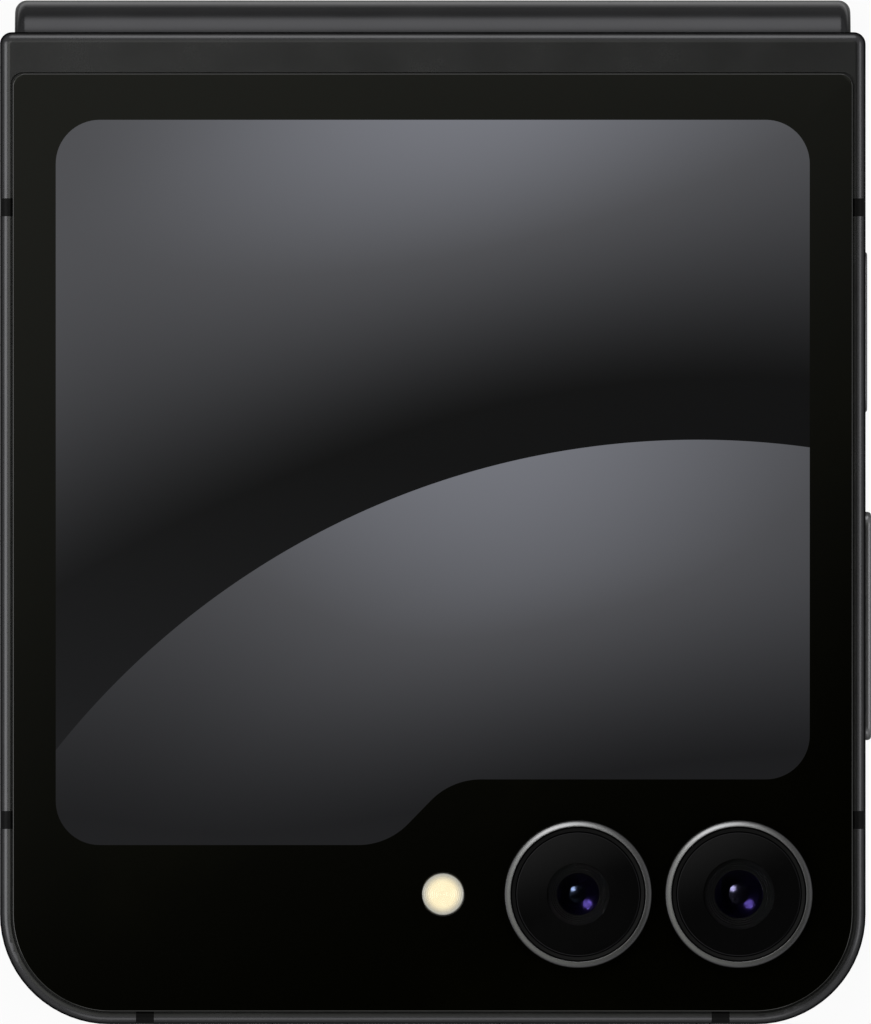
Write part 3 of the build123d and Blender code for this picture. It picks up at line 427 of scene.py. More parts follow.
def grainMaterial(name, colour, roughness=0.4, scale=9000.0, drift=0.1, spread=0.08, depth=0.0000015,
                  wear=0.0, wearColour=(0.3, 0.3, 0.31), stretch=(1.0, 1.0, 1.0), fade=None, **fixed):
    # Any solid finish: grain drives colour, roughness and bump, wear brightens the edges, and fade paints
    # shade onto faces that lean away from the top
    material, tree, shader = startMaterial(name, **fixed)
    grain = placeGroup(tree, grainGroup, Colour=(*colour, 1), Scale=scale, Drift=drift,
                       Roughness=roughness, Spread=spread, Stretch=stretch)
    tint = grain.outputs["Colour"]
    if wear:
        mask = placeGroup(tree, wearGroup, Amount=wear).outputs["Mask"]
        tint = mixColour(tree, mask, tint, (*wearColour, 1))
    if fade:  # painted shade: darker where the face leans away from the piece's top
        split = tree.nodes.new("ShaderNodeSeparateXYZ")
        tree.links.new(tree.nodes.new("ShaderNodeTexCoord").outputs["Normal"], split.inputs[0])
        level = mapRange(tree, split.outputs["Z"], *fade)
        tint = mixColour(tree, level, paintedShadeColour, tint)
    tree.links.new(tint, shader.inputs["Base Color"])
    tree.links.new(grain.outputs["Roughness"], shader.inputs["Roughness"])
    bump = tree.nodes.new("ShaderNodeBump")
    bump.inputs["Strength"].default_value = 1.0
    bump.inputs["Distance"].default_value = depth
    tree.links.new(grain.outputs["Height"], bump.inputs["Height"])
    tree.links.new(bump.outputs["Normal"], shader.inputs["Normal"])
    return material


def mirrorMaterial(name, colour, lift=1.6, **fixed):
    # Flat polished glass or film, its wipe marks a trace paler
    material, tree, shader = startMaterial(name, Roughness=0.0, **fixed)
    mark = placeGroup(tree, smudgeGroup).outputs["Mark"]
    pale = [level * lift for level in colour]
    tree.links.new(mixColour(tree, mark, (*colour, 1), (*pale, 1)), shader.inputs["Base Color"])
    return material


def glossMaterial(name, colour, roughness=0.02, smudge=0.04, **fixed):
    # Polished glass edges and lens coats
    material, tree, shader = startMaterial(name, Base_Color=(*colour, 1), **fixed)
    marks = placeGroup(tree, smudgeGroup, Roughness=roughness, Amount=smudge)
    tree.links.new(marks.outputs["Roughness"], shader.inputs["Roughness"])
    return material


darkEdge = (0.15, 0.15, 0.15, 1)
# Colour of the painted shade on faces that lean away from a piece's top
paintedShadeColour = (0.004, 0.004, 0.004, 1)
frameMetal = grainMaterial("frameMetal", (0.038, 0.038, 0.0393), 0.26, wear=0.05, Metallic=1.0,
                           Specular_Tint=darkEdge)
spineMetal = grainMaterial("spineMetal", (0.022, 0.022, 0.023), 0.22, wear=0.05, Metallic=1.0)
breakPolymer = grainMaterial("breakPolymer", (0.002, 0.002, 0.002), 0.4, scale=6000.0,
                             Specular_IOR_Level=0.05)
keyMetal = grainMaterial("keyMetal", (0.13, 0.13, 0.134), 0.26, wear=0.05, Metallic=0.5)
blackGlass = mirrorMaterial("blackGlass", (0.0012, 0.0012, 0.0004))
coverInk = mirrorMaterial("coverInk", (0.001, 0.001, 0.001), Specular_Tint=(0.9, 0.88, 1.0, 1))
edgeGlass = glossMaterial("edgeGlass", (0.0012, 0.0012, 0.0004))
copperCoil = grainMaterial("copperCoil", (0.72, 0.33, 0.17), 0.32, scale=4000.0, stretch=(1, 1, 8),
                           Metallic=1.0)
cellFoil = grainMaterial("cellFoil", (0.05, 0.05, 0.055), 0.42, scale=1500.0, depth=0.00001)
solderMask = grainMaterial("solderMask", (0.01, 0.075, 0.04), 0.3, scale=5000.0, Coat_Weight=0.3)
stampedSteel = grainMaterial("stampedSteel", (0.45, 0.45, 0.45), 0.34, scale=7000.0, stretch=(0.06, 1, 1),
                             Metallic=1.0)
hingeSteel = grainMaterial("hingeSteel", (0.34, 0.34, 0.35), 0.3, scale=7000.0, stretch=(1, 0.08, 1),
                           Metallic=1.0)
screwSteel = grainMaterial("screwSteel", (0.12, 0.12, 0.12), 0.3, scale=8000.0, Metallic=1.0)
modulePlastic = grainMaterial("modulePlastic", (0.018, 0.018, 0.02), 0.5, scale=4000.0)
motorCan = grainMaterial("motorCan", (0.4, 0.4, 0.41), 0.3, scale=7000.0, Metallic=1.0)
foldFilm = mirrorMaterial("foldFilm", (0.004, 0.004, 0.005), Specular_IOR_Level=0.35)
bezelPolymer = grainMaterial("bezelPolymer", (0.014, 0.014, 0.015), 0.5, scale=8000.0)
bumperRubber = grainMaterial("bumperRubber", (0.012, 0.012, 0.012), 0.7, scale=8000.0)
magnetNickel = grainMaterial("magnetNickel", (0.5, 0.48, 0.44), 0.25, scale=6000.0, Metallic=1.0)
# The rings get painted shade: their outer rounding is darker the more it leans, in place of a darker
# reflection
ringMetal = grainMaterial("ringMetal", (0.112, 0.112, 0.115), 0.26, fade=(0.93, 0.9995, 0.1, 1.0),
                          Metallic=1.0)
cardPlastic = grainMaterial("cardPlastic", (0.8, 0.8, 0.78), 0.45, scale=5000.0)
switchFlex = grainMaterial("switchFlex", (0.22, 0.1, 0.02), 0.35, scale=3000.0, Coat_Weight=0.4)
diodePhosphor = grainMaterial("diodePhosphor", (0.9, 0.72, 0.25), 0.5)

finishes = (
    (frameMetal, "lower_frame upper_frame sim_tray"),
    (spineMetal, "spine_cover"),
    (breakPolymer, "lower_antenna_breaks upper_antenna_breaks"),
    (blackGlass, "back_glass cover_glass camera_glasses"),
    (copperCoil, "wireless_coil"),
    (cellFoil, "lower_battery upper_battery"),
    (solderMask, "charge_board main_board"),
    (stampedSteel, "usb_receptacle board_shields sim_reader lower_display_plate upper_display_plate "
                   "support_plate_lower support_plate_upper"),
    (hingeSteel, "lower_wing_right lower_wing_left upper_wing_right upper_wing_left hinge_housing_right "
                 "hinge_housing_left friction_discs sync_gear_right_lower sync_gear_right_upper "
                 "sync_gear_left_lower sync_gear_left_upper"),
    (screwSteel, "lower_wing_screws upper_wing_screws housing_screws"),
    (modulePlastic, "loudspeaker earpiece selfie_camera camera_modules"),
    (motorCan, "vibration_motor"),
    (foldFilm, "lower_display upper_display display_fold cover_display"),
    (bezelPolymer, "lower_bezel upper_bezel"),
    (bumperRubber, "lower_bumpers upper_bumpers"),
    (magnetNickel, "lower_magnets"),
    (ringMetal, "camera_rings"),
    (diodePhosphor, "flash_lens flash_led"),
    (keyMetal, "volume_key side_key"),
    (switchFlex, "volume_switches side_key_switch hinge_flex_cable"),
    (cardPlastic, "sim_card"),
)
for material, names in finishes:
    for name in names.split():
        for holder in parts[name].material_slots:
            holder.material = material
print("finishes on the CAD nodes")


# Mesh helpers: lengths in mm, rounded plans, turned and folded shapes

weldGap = 1e-6  # metres
leastRadius = 1e-4


def addPiece(name, build, materials, sharp=35):
    # What a Build holds, welded, and smooth but for edges over the sharp angle
    mesh = bpy.data.meshes.new(name)
    mesh.from_pydata([Vector(v) * mm for v in build.verts], [], build.faces)
    for material in materials:
        mesh.materials.append(material)
    mesh.polygons.foreach_set("material_index", build.picks)
    shape = bmesh.new()
    shape.from_mesh(mesh)
    bmesh.ops.remove_doubles(shape, verts=shape.verts, dist=weldGap)
    bmesh.ops.recalc_face_normals(shape, faces=shape.faces)
    shape.to_mesh(mesh)
    shape.free()
    mesh.shade_smooth()
    mesh.set_sharp_from_angle(angle=math.radians(sharp))
    piece = bpy.data.objects.new(name, mesh)
    bpy.context.scene.collection.objects.link(piece)
    flat = piece.modifiers.new("flatFaces", "WEIGHTED_NORMAL")
    flat.keep_sharp = True
    return piece


def arcPoints(centre, radius, start, end, count):
    # Points on an arc, degrees from +X, both ends included
    steps = [math.radians(start + (end - start) * i / count) for i in range(count + 1)]
    return [(centre[0] + radius * math.cos(a), centre[1] + radius * math.sin(a)) for a in steps]


def circlePoints(centre, radius, count):
    return arcPoints(centre, radius, 0, 360, count)[:-1]


def paneLoop(inset, count=20):
    # Plan of the cover glass, its edge moved in by inset
    reach = body["side"] - paneSet["rail"] - inset
    low, high = body["freeY"] + paneSet["rail"] + inset, body["glassEndY"] - inset
    big = body["freeCorner"] - paneSet["rail"] - inset
    small = body["hingeCorner"] - inset
    loop = arcPoints((-reach + big, low + big), big, 180, 270, count)
    loop += arcPoints((reach - big, low + big), big, 270, 360, count)
    loop += arcPoints((reach - small, high - small), small, 0, 90, count // 2)
    loop += arcPoints((-reach + small, high - small), small, 90, 180, count // 2)
    return loop


def isInside(point, loop):
    x, y = point
    inside = False
    for (x1, y1), (x2, y2) in zip(loop, loop[1:] + loop[:1]):
        if (y1 > y) != (y2 > y) and x < (x2 - x1) * (y - y1) / (y2 - y1) + x1:
            inside = not inside
    return inside


def fillPlan(outer, holes, inner=()):
    # Triangles between an outline and its holes, and whether each lies inside one of the inner loops
    points, edges = [], []
    for loop in (outer, *holes, *inner):
        first = len(points)
        points += [Vector(p) for p in loop]
        edges += [(first + i, first + (i + 1) % len(loop)) for i in range(len(loop))]
    found = delaunay_2d_cdt(points, edges, [], 0, 1e-7)
    plan = [tuple(p) for p in found[0]]
    faces, marks = [], []
    for face in found[2]:
        middle = tuple(sum(plan[i][k] for i in face) / len(face) for k in (0, 1))
        if isInside(middle, outer) and not any(isInside(middle, hole) for hole in holes):
            faces.append(tuple(face))
            marks.append(any(isInside(middle, loop) for loop in inner))
    return plan, faces, marks


class Build:
    # Collects points, faces and material numbers of one piece
    def __init__(self):
        self.verts, self.faces, self.picks = [], [], []

    def addCap(self, plan, faces, z, picks):
        first = len(self.verts)
        self.verts += [(x, y, z) for x, y in plan]
        self.faces += [tuple(first + i for i in face) for face in faces]
        self.picks += picks

    def addWalls(self, rings, pick=0, closed=True):
        # Joins rings of equal length one after another
        first, count = len(self.verts), len(rings[0])
        for ring in rings:
            self.verts += ring
        last = count if closed else count - 1
        for row in range(len(rings) - 1):
            base = first + row * count
            for i in range(last):
                j = (i + 1) % count
                self.faces.append((base + i, base + j, base + count + j, base + count + i))
                self.picks.append(pick)

    def addTurned(self, centre, profile, picks, count=96):
        # A profile of (radius, z) turned about a vertical line. picks has one number per step
        for start, end, pick in zip(profile, profile[1:], picks):
            rings = []
            for r, z in (start, end):
                rings.append([(*p, z) for p in circlePoints(centre, max(r, leastRadius), count)])
            self.addWalls(rings, pick)


# Cover glass: black ink round a lit display, in one pane with holes for the cameras and the flash

paneSet = {
    "rail": 1.08, "round": 0.08, "steps": 4, "thick": 0.65, "ringHole": 5.73, "flashHole": 1.78,
    "holeRound": 0.05, "circle": 64,
}
displaySet = {
    "reach": 31.3, "top": 32.56, "leftLow": -27.65, "rightLow": -22.2, "corner": 3.65,
    "leftRun": 25.1, "stepRun": 10.2, "stepRadius": 5.8,
}


def stepSlope(run, rise, radius):
    # Angle of the straight between the step's two arcs, found by halving
    low, high = 1.0, 89.0
    for _ in range(60):
        slope = (low + high) / 2
        angle = math.radians(slope)
        climb = 2 * radius * (1 - math.cos(angle)) + (run - 2 * radius * math.sin(angle)) * math.tan(angle)
        low, high = (slope, high) if climb < rise else (low, slope)
    return slope


def displayLoop(count=16):
    # Rounded square whose right part is shorter, with a curved step between
    d = displaySet
    left = (-d["reach"] + d["leftRun"], d["leftLow"])
    right = (left[0] + d["stepRun"], d["rightLow"])
    c, r = d["corner"], d["stepRadius"]
    slope = stepSlope(right[0] - left[0], right[1] - left[1], r)
    loop = arcPoints((-d["reach"] + c, d["leftLow"] + c), c, 180, 270, count)
    loop += arcPoints((left[0], left[1] + r), r, 270, 270 + slope, count)
    loop += arcPoints((right[0], right[1] - r), r, 90 + slope, 90, count)
    loop += arcPoints((d["reach"] - c, d["rightLow"] + c), c, 270, 360, count)
    loop += arcPoints((d["reach"] - c, d["top"] - c), c, 0, 90, count)
    loop += arcPoints((-d["reach"] + c, d["top"] - c), c, 90, 180, count)
    return loop


def addPane():
    top, s = body["faceZ"], paneSet
    build = Build()
    circles = [((x, body["cameraY"]), s["ringHole"]) for x in body["cameraX"]]
    circles.append(((body["flashX"], body["cameraY"]), s["flashHole"]))
    bevel = s["holeRound"]
    holes = [circlePoints(centre, radius + bevel, s["circle"]) for centre, radius in circles]
    plan, faces, lit = fillPlan(paneLoop(s["round"]), holes, [displayLoop()])
    build.addCap(plan, faces, top, [int(on) for on in lit])
    rings = []
    for i in range(s["steps"] + 1):
        a = math.pi / 2 * i / s["steps"]
        inset, drop = s["round"] * (1 - math.sin(a)), s["round"] * (1 - math.cos(a))
        rings.append([(x, y, top - drop) for x, y in paneLoop(inset)])
    rings.append([(x, y, top - s["thick"]) for x, y in paneLoop(0)])
    build.addWalls(rings, 2)
    for centre, radius in circles:
        levels = ((radius + bevel, top), (radius, top - bevel), (radius, top - s["thick"]))
        build.addWalls([[(*p, z) for p in circlePoints(centre, r, s["circle"])] for r, z in levels])
    holes = [circlePoints(centre, radius, s["circle"]) for centre, radius in circles]
    plan, faces, _ = fillPlan(paneLoop(0), holes)
    build.addCap(plan, faces, top - s["thick"], [0] * len(faces))
    piece = addPiece("coverPane", build, [blackGlass, litDisplay, edgeGlass])
    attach(piece, "upper_half")
    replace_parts(piece, "cover_glass")


wallpaperSet = {
    "dark": (0.0008, 0.0008, 0.0009, 1), "mid": (0.072, 0.073, 0.08, 1),
    "pale": (0.182, 0.188, 0.214, 1), "bandWidth": 0.0415, "bandStart": 0.068,
    "bandCentre": (0.022, -0.062), "bandFade": (0.05, 0.8), "rise": (-0.032, 0.012),
    "riseTo": (0.1, 1.0), "sheenX": 0.004, "sheenReach": 0.036, "sheenEnd": 0.5,
    "foot": (-0.028, 0.004), "footTo": (0.085, 0.02),
}


def makeWallpaper():
    # Broad soft grey folds: arcs about a point below, sharp on one side and fading on the other
    w = wallpaperSet
    material, tree, shader = startMaterial("litDisplay", Base_Color=(0.002, 0.002, 0.002, 1), Roughness=0.0,
                                           Specular_IOR_Level=0.25, Emission_Strength=1.0)
    place = objectPlace(tree)
    away = distanceTo(tree, place, (*w["bandCentre"], body["faceZ"] * mm))
    along = addMath(tree, "SUBTRACT", away, w["bandStart"])
    fold = addMath(tree, "FRACT", addMath(tree, "DIVIDE", along, w["bandWidth"]), 0)
    split = tree.nodes.new("ShaderNodeSeparateXYZ")
    tree.links.new(place, split.inputs[0])
    height = mapRange(tree, split.outputs["Y"], *w["rise"], *w["riseTo"], True)
    sideways = addMath(tree, "ABSOLUTE", addMath(tree, "SUBTRACT", split.outputs["X"], w["sheenX"]), 0)
    middle = mapRange(tree, sideways, 0.0, w["sheenReach"], 1.0, w["sheenEnd"], True)
    level = addMath(tree, "MULTIPLY", height, middle)
    level = addMath(tree, "MULTIPLY", level, mapRange(tree, fold, *w["bandFade"], 0.0, 1.0, True))
    level = addMath(tree, "MAXIMUM", level, mapRange(tree, split.outputs["Y"], *w["foot"], *w["footTo"]))
    lower = mixColour(tree, mapRange(tree, level, 0.0, 0.5, 0.0, 1.0), w["dark"], w["mid"])
    tint = mixColour(tree, mapRange(tree, level, 0.5, 1.0, 0.0, 1.0), lower, w["pale"])
    tree.links.new(tint, shader.inputs["Emission Color"])
    return material


litDisplay = makeWallpaper()
addPane()
print("cover glass and its display")


# Flash: a cream diffuser with a pale rim and fine moulded rings, which also glows faintly as painted light
# though the flash is off

flashSet = {
    "middle": (1.0, 0.86, 0.55, 1), "rim": (0.36, 0.355, 0.31, 1), "seam": (0.01, 0.01, 0.01, 1),
    "fade": 0.9, "edge": 1.66, "radius": 1.75, "rings": 0.16, "ringDepth": 0.012, "glow": 0.4,
}


def makeFlashWithPaintedGlow():
    # Cream in the middle, greyer outward and dark at the seam, and the same colours glow as painted light
    f = flashSet
    material, tree, shader = startMaterial("flashCreamPaintedGlow", Roughness=0.22, Coat_Weight=0.6,
                                           Coat_Roughness=0.05, Emission_Strength=f["glow"])
    flat = tree.nodes.new("ShaderNodeVectorMath")
    flat.operation = "MULTIPLY"
    flat.inputs[1].default_value = (1, 1, 0)
    tree.links.new(objectPlace(tree), flat.inputs[0])
    radius = distanceTo(tree, flat.outputs[0], (body["flashX"] * mm, body["cameraY"] * mm, 0))
    share = mapRange(tree, radius, f["fade"] * mm, f["radius"] * mm, 0.0, 1.0, True)
    tint = mixColour(tree, share, f["middle"], f["rim"])
    shade = mapRange(tree, radius, f["edge"] * mm, f["radius"] * mm, 0.0, 1.0)
    tint = mixColour(tree, shade, tint, f["seam"])
    tree.links.new(tint, shader.inputs["Base Color"])
    # Painted light: the diffuser's colour also glows, at the glow strength, though the flash is off
    tree.links.new(tint, shader.inputs["Emission Color"])
    turns = addMath(tree, "MULTIPLY", radius, 2 * math.pi / (f["rings"] * mm))
    bump = tree.nodes.new("ShaderNodeBump")
    bump.inputs["Distance"].default_value = f["ringDepth"] * mm
    tree.links.new(addMath(tree, "SINE", turns, 0), bump.inputs["Height"])
    tree.links.new(bump.outputs["Normal"], shader.inputs["Normal"])
    return material


for holder in parts["flash_lens"].material_slots:
    holder.material = makeFlashWithPaintedGlow()
print("flash")


# Cameras: ring, cover, stepped baffle and lens

ringSet = {
    "outer": 6.12, "inner": 5.6, "foot": 14.95, "top": 15.9,
    "slopes": (3, 16),  # lean of the top, in degrees, at its inner and outer edges
    "outerRound": 0.1, "innerRound": 0.04, "wall": 0.02, "ledge": (5.5, 5.22), "ledgeZ": 15.5,
    "ledgeFall": 0.05, "gapZ": 15.3, "lip": 5.15, "seat": 4.6, "seatZ": 15.05, "neck": 5.7,
    "neckZ": 14.0,
}
coverSet = {
    "radius": 5.12, "foot": 15.05, "edge": 15.5, "round": 0.03, "bend": 140.0, "margin": 0.01,
    "inkRows": 7, "glassRows": 8,
}
lensSets = (
    {"x": 12.07, "disc": 2.6, "dish": 1.75, "dishBend": 7.3, "bead": 0.72, "beadBend": 4.0, "coat": 1},
    {"x": 25.42, "disc": 2.95, "dish": 2.0, "dishBend": 7.3, "bead": 0.85, "beadBend": 4.2, "coat": 2},
)
barrelSet = {
    "floor": 11.9, "lid": 14.98, "lidSide": 4.55, "bevel": 0.1, "disc": 14.86, "discRim": 0.25,
    "steps": 4, "stepDrop": 0.09, "stepFlat": 0.4, "dishZ": 14.3, "dishGap": 0.2,
    "dishWall": 0.25, "dishRows": 10, "beadRows": 8, "base": 5.0, "baseTop": 12.7,
    "baseFoot": 9.3, "baseCorner": 0.6,
}


def addRings():
    # Bowed metal rings, each with a black ledge and seal inside and a neck down through the pane
    r = ringSet
    low, high = r["slopes"]
    sine, cosine = math.sin(math.radians(high)), math.cos(math.radians(high))
    innerCentre = (r["inner"] + r["innerRound"], r["top"] - r["innerRound"])
    innerArc = arcPoints(innerCentre, r["innerRound"], 90 - low, 180, 6)
    x, z = innerArc[0]
    bow = (r["outer"] - r["outerRound"] * (1 - sine) - x) / (sine - math.sin(math.radians(low)))
    middle = (x - bow * math.sin(math.radians(low)), z - bow * math.cos(math.radians(low)))
    bowArc = arcPoints(middle, bow, 90 - high, 90 - low, 8)
    outerCentre = (bowArc[0][0] - r["outerRound"] * sine, bowArc[0][1] - r["outerRound"] * cosine)
    outerArc = arcPoints(outerCentre, r["outerRound"], 0, 90 - high, 8)
    metal = [(r["outer"], r["foot"]), *outerArc, *bowArc[1:], *innerArc[1:]]
    outer, inner = r["ledge"]
    rest = [
        (r["inner"] - r["wall"], r["gapZ"]), (outer, r["gapZ"]), (outer, r["ledgeZ"]),
        (inner, r["ledgeZ"] - r["ledgeFall"]), (inner, r["gapZ"]), (r["lip"], r["gapZ"]),
        (r["lip"], r["seatZ"]), (r["seat"], r["seatZ"]), (r["seat"], r["neckZ"]),
        (r["neck"], r["neckZ"]), (r["neck"], r["foot"]), (r["outer"], r["foot"]),
    ]
    picks = [0] * (len(metal) - 1) + [1, 1, 1, 2, 1, 1, 1, 1] + [0] * (len(rest) - 8)
    build = Build()
    for x in body["cameraX"]:
        build.addTurned((x, body["cameraY"]), metal + rest, picks)
    piece = addPiece("cameraRings", build, [ringMetal, innerBlack, sealBlack])
    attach(piece, "upper_half")
    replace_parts(piece, "camera_rings")
    return piece


def addCovers():
    # Slightly domed covers, inked black outside a clear window
    c = coverSet
    rim = c["radius"] - c["round"]
    ink = rim - c["margin"]
    sag = bendZ(rim, c["bend"])
    turn = arcPoints((rim, c["edge"] - c["round"]), c["round"], 0, 90, 4)[:-1]
    picks = [1] + [0] * (len(turn) + c["inkRows"] + 3) + [1] * c["glassRows"]
    build = Build()
    for s in lensSets:
        radii = [rim] + [ink - (ink - s["disc"]) * i / c["inkRows"] for i in range(c["inkRows"] + 1)]
        radii += rowsInward(s["disc"], c["glassRows"])
        top = [(r, c["edge"] + sag - bendZ(r, c["bend"])) for r in radii]
        profile = [(0, c["foot"]), (s["disc"], c["foot"]), (c["radius"], c["foot"]), *turn, *top]
        build.addTurned((s["x"], body["cameraY"]), profile, picks)
    piece = addPiece("cameraCovers", build, [coverInk, clearGlass])
    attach(piece, "upper_half")
    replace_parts(piece, "camera_glasses")
    return piece


def bendZ(radius, bend):
    return bend - math.sqrt(bend * bend - radius * radius)


def rowsInward(radius, rows):
    # Radii of the rows inside this one, the last in the middle
    return [radius * (1 - i / rows) for i in range(1, rows + 1)]


def lidProfile(s):
    # Over the lid, down to the lens disc, and on in steps to the dish
    b = barrelSet
    inner, deep = s["disc"] - b["discRim"], b["disc"] - b["bevel"]
    lid = [(b["lidSide"], b["floor"]), (b["lidSide"], b["lid"]), (s["disc"] + b["bevel"], b["lid"]),
           (s["disc"], b["lid"] - b["bevel"]), (s["disc"], b["disc"]), (inner, deep)]
    width = (inner - s["dish"]) / b["steps"]
    for i in range(b["steps"]):
        edge, z = inner - i * width, deep - b["stepDrop"] * i
        lid += [(edge - width * b["stepFlat"], z), (edge - width, z - b["stepDrop"])]
    lid += [(s["dish"], b["dishZ"] - b["dishGap"]), (s["dish"], b["floor"]), (b["lidSide"], b["floor"])]
    return lid


def lensProfile(s):
    # A hollow dish with a bead in its middle
    b = barrelSet
    hollow = b["dishZ"] - bendZ(s["dish"], s["dishBend"])
    foot = b["dishZ"] - b["dishWall"]
    dish = [s["dish"] - (s["dish"] - s["bead"]) * i / b["dishRows"] for i in range(b["dishRows"] + 1)]
    crown = hollow + bendZ(s["bead"], s["dishBend"]) + bendZ(s["bead"], s["beadBend"])
    profile = [(s["dish"], foot)] + [(r, hollow + bendZ(r, s["dishBend"])) for r in dish]
    profile += [(r, crown - bendZ(r, s["beadBend"])) for r in rowsInward(s["bead"], b["beadRows"])]
    return profile + [(0, foot), (s["dish"], foot)]


def baseLoop(centre):
    # Rounded square under a barrel
    corner = barrelSet["baseCorner"]
    reach = barrelSet["base"] - corner
    loop = []
    for x, y, turn in ((1, 1, 0), (-1, 1, 90), (-1, -1, 180), (1, -1, 270)):
        loop += arcPoints((centre[0] + x * reach, centre[1] + y * reach), corner, turn, turn + 90, 6)
    return loop


def addLenses():
    # Each lens: a black lid, a step down to the lens disc, and a coated dish with a bead in its middle
    b = barrelSet
    lens, barrel = Build(), Build()
    for s in lensSets:
        centre = (s["x"], body["cameraY"])
        lid = lidProfile(s)
        barrel.addTurned(centre, lid, [0, 0, 2] + [1] * (len(lid) - 6) + [0, 0])
        picks = [0] * (b["dishRows"] + 1) + [s["coat"]] * b["beadRows"] + [0, 0]
        lens.addTurned(centre, lensProfile(s), picks, 64)
        loop = baseLoop(centre)
        plan, faces, _ = fillPlan(loop, [])
        barrel.addCap(plan, faces, b["baseTop"], [0] * len(faces))
        barrel.addCap(plan, faces, b["baseFoot"], [0] * len(faces))
        barrel.addWalls([[(*p, z) for p in loop] for z in (b["baseFoot"], b["baseTop"])])
    pieces = (
        addPiece("lensBarrels", barrel, [modulePlastic, innerBlack, sealBlack]),
        addPiece("lensElements", lens, [violetCoat, blueCoat, lilacCoat], sharp=8),
    )
    for piece in pieces:
        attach(piece, "upper_half")
    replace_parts(pieces[0], "camera_modules")
    return pieces


def lightOnly(lamp, pieces):
    # The lamp reaches these pieces and nothing else
    group = bpy.data.collections.new(lamp.name + "Reach")
    for piece in pieces:
        group.objects.link(piece)
    lamp.light_linking.receiver_collection = group


def makeClearGlass():
    # Clear cover that lets lamps through to what lies under it
    material, tree, shader = startMaterial("clearGlass", Base_Color=(0.97, 0.97, 0.99, 1), Roughness=0.0,
                                           Transmission_Weight=1.0, IOR=1.25)
    through = tree.nodes.new("ShaderNodeBsdfTransparent")
    surface = mixShaders(tree, rayIs(tree, "Is Shadow Ray"), shader.outputs[0], through.outputs[0])
    tree.links.new(surface, tree.nodes["Material Output"].inputs["Surface"])
    return material


innerBlack = grainMaterial("innerBlack", (0.001, 0.001, 0.001), 0.6, scale=6000.0, Specular_IOR_Level=0.0)
sealBlack = grainMaterial("sealBlack", (0.0022, 0.0022, 0.0022), 0.5, scale=6000.0, Specular_IOR_Level=0.05)
violetCoat = glossMaterial("violetCoat", (0.0006, 0.0004, 0.0021), 0.1, 0.0, Metallic=1.0)
blueCoat = glossMaterial("blueCoat", (0.003, 0.0039, 0.0066), 0.115, 0.0, Metallic=1.0)
lilacCoat = glossMaterial("lilacCoat", (0.0034, 0.0032, 0.0056), 0.135, 0.0, Metallic=1.0)
clearGlass = makeClearGlass()
rings, lenses = addRings(), [*addLenses(), addCovers()]
lightOnly(ringLamp, [rings])
lightOnly(glintLamp, lenses)
print("cameras")


# Folding display: two sheets that meet on the hinge's middle plane, bent there

foldSet = {
    "reach": 33.9, "corner": 7.1, "end": 2.05, "offset": 1.85, "face": 1.3, "thick": 0.4,
    "startY": -3.0, "slope": 0.42, "rows": 28, "columns": 12, "crease": 0.09,
    "creaseStart": 0.35, "hole": 1.7, "holeFromEnd": 5.2, "cornerSteps": 16, "holeSteps": 48,
}


def foldSlopes():
    # Growth of the blend share for each mm along y and z
    f = foldSet
    dy = f["slope"]
    return dy, (1 - dy * (-f["face"] - f["startY"])) / (f["offset"] - f["face"])


def foldRow(t, depth):
    # (y, z) from the lower fold axis of a point at blend share t, level with the display when open
    f = foldSet
    turn = math.pi / 2 * t * t * (3 - 2 * t)
    level = f["face"] - depth
    dy, dz = foldSlopes()
    # -y sin + z cos = level, and dy (y - startY) + dz (z - face) = t
    s, c = math.sin(turn), math.cos(turn)
    right = t + dy * f["startY"] + dz * f["face"]
    det = -s * dz - c * dy
    return (level * dz - c * right) / det, (-s * right - dy * level) / det


def foldDirection():
    dy, dz = foldSlopes()
    size = dy * dy + dz * dz
    return dy / size, dz / size


def creaseDepth(t):
    start = foldSet["creaseStart"]
    return foldSet["crease"] * max(0.0, min(1.0, (t - start) / (1 - start))) ** 2


def blendAtHinge(piece, upper, start, end):
    # start is on the half's side and end on the hinge's; neither is used, and the piece is only baked in
    # place
    if upper:
        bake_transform(piece)
    else:
        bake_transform(piece)


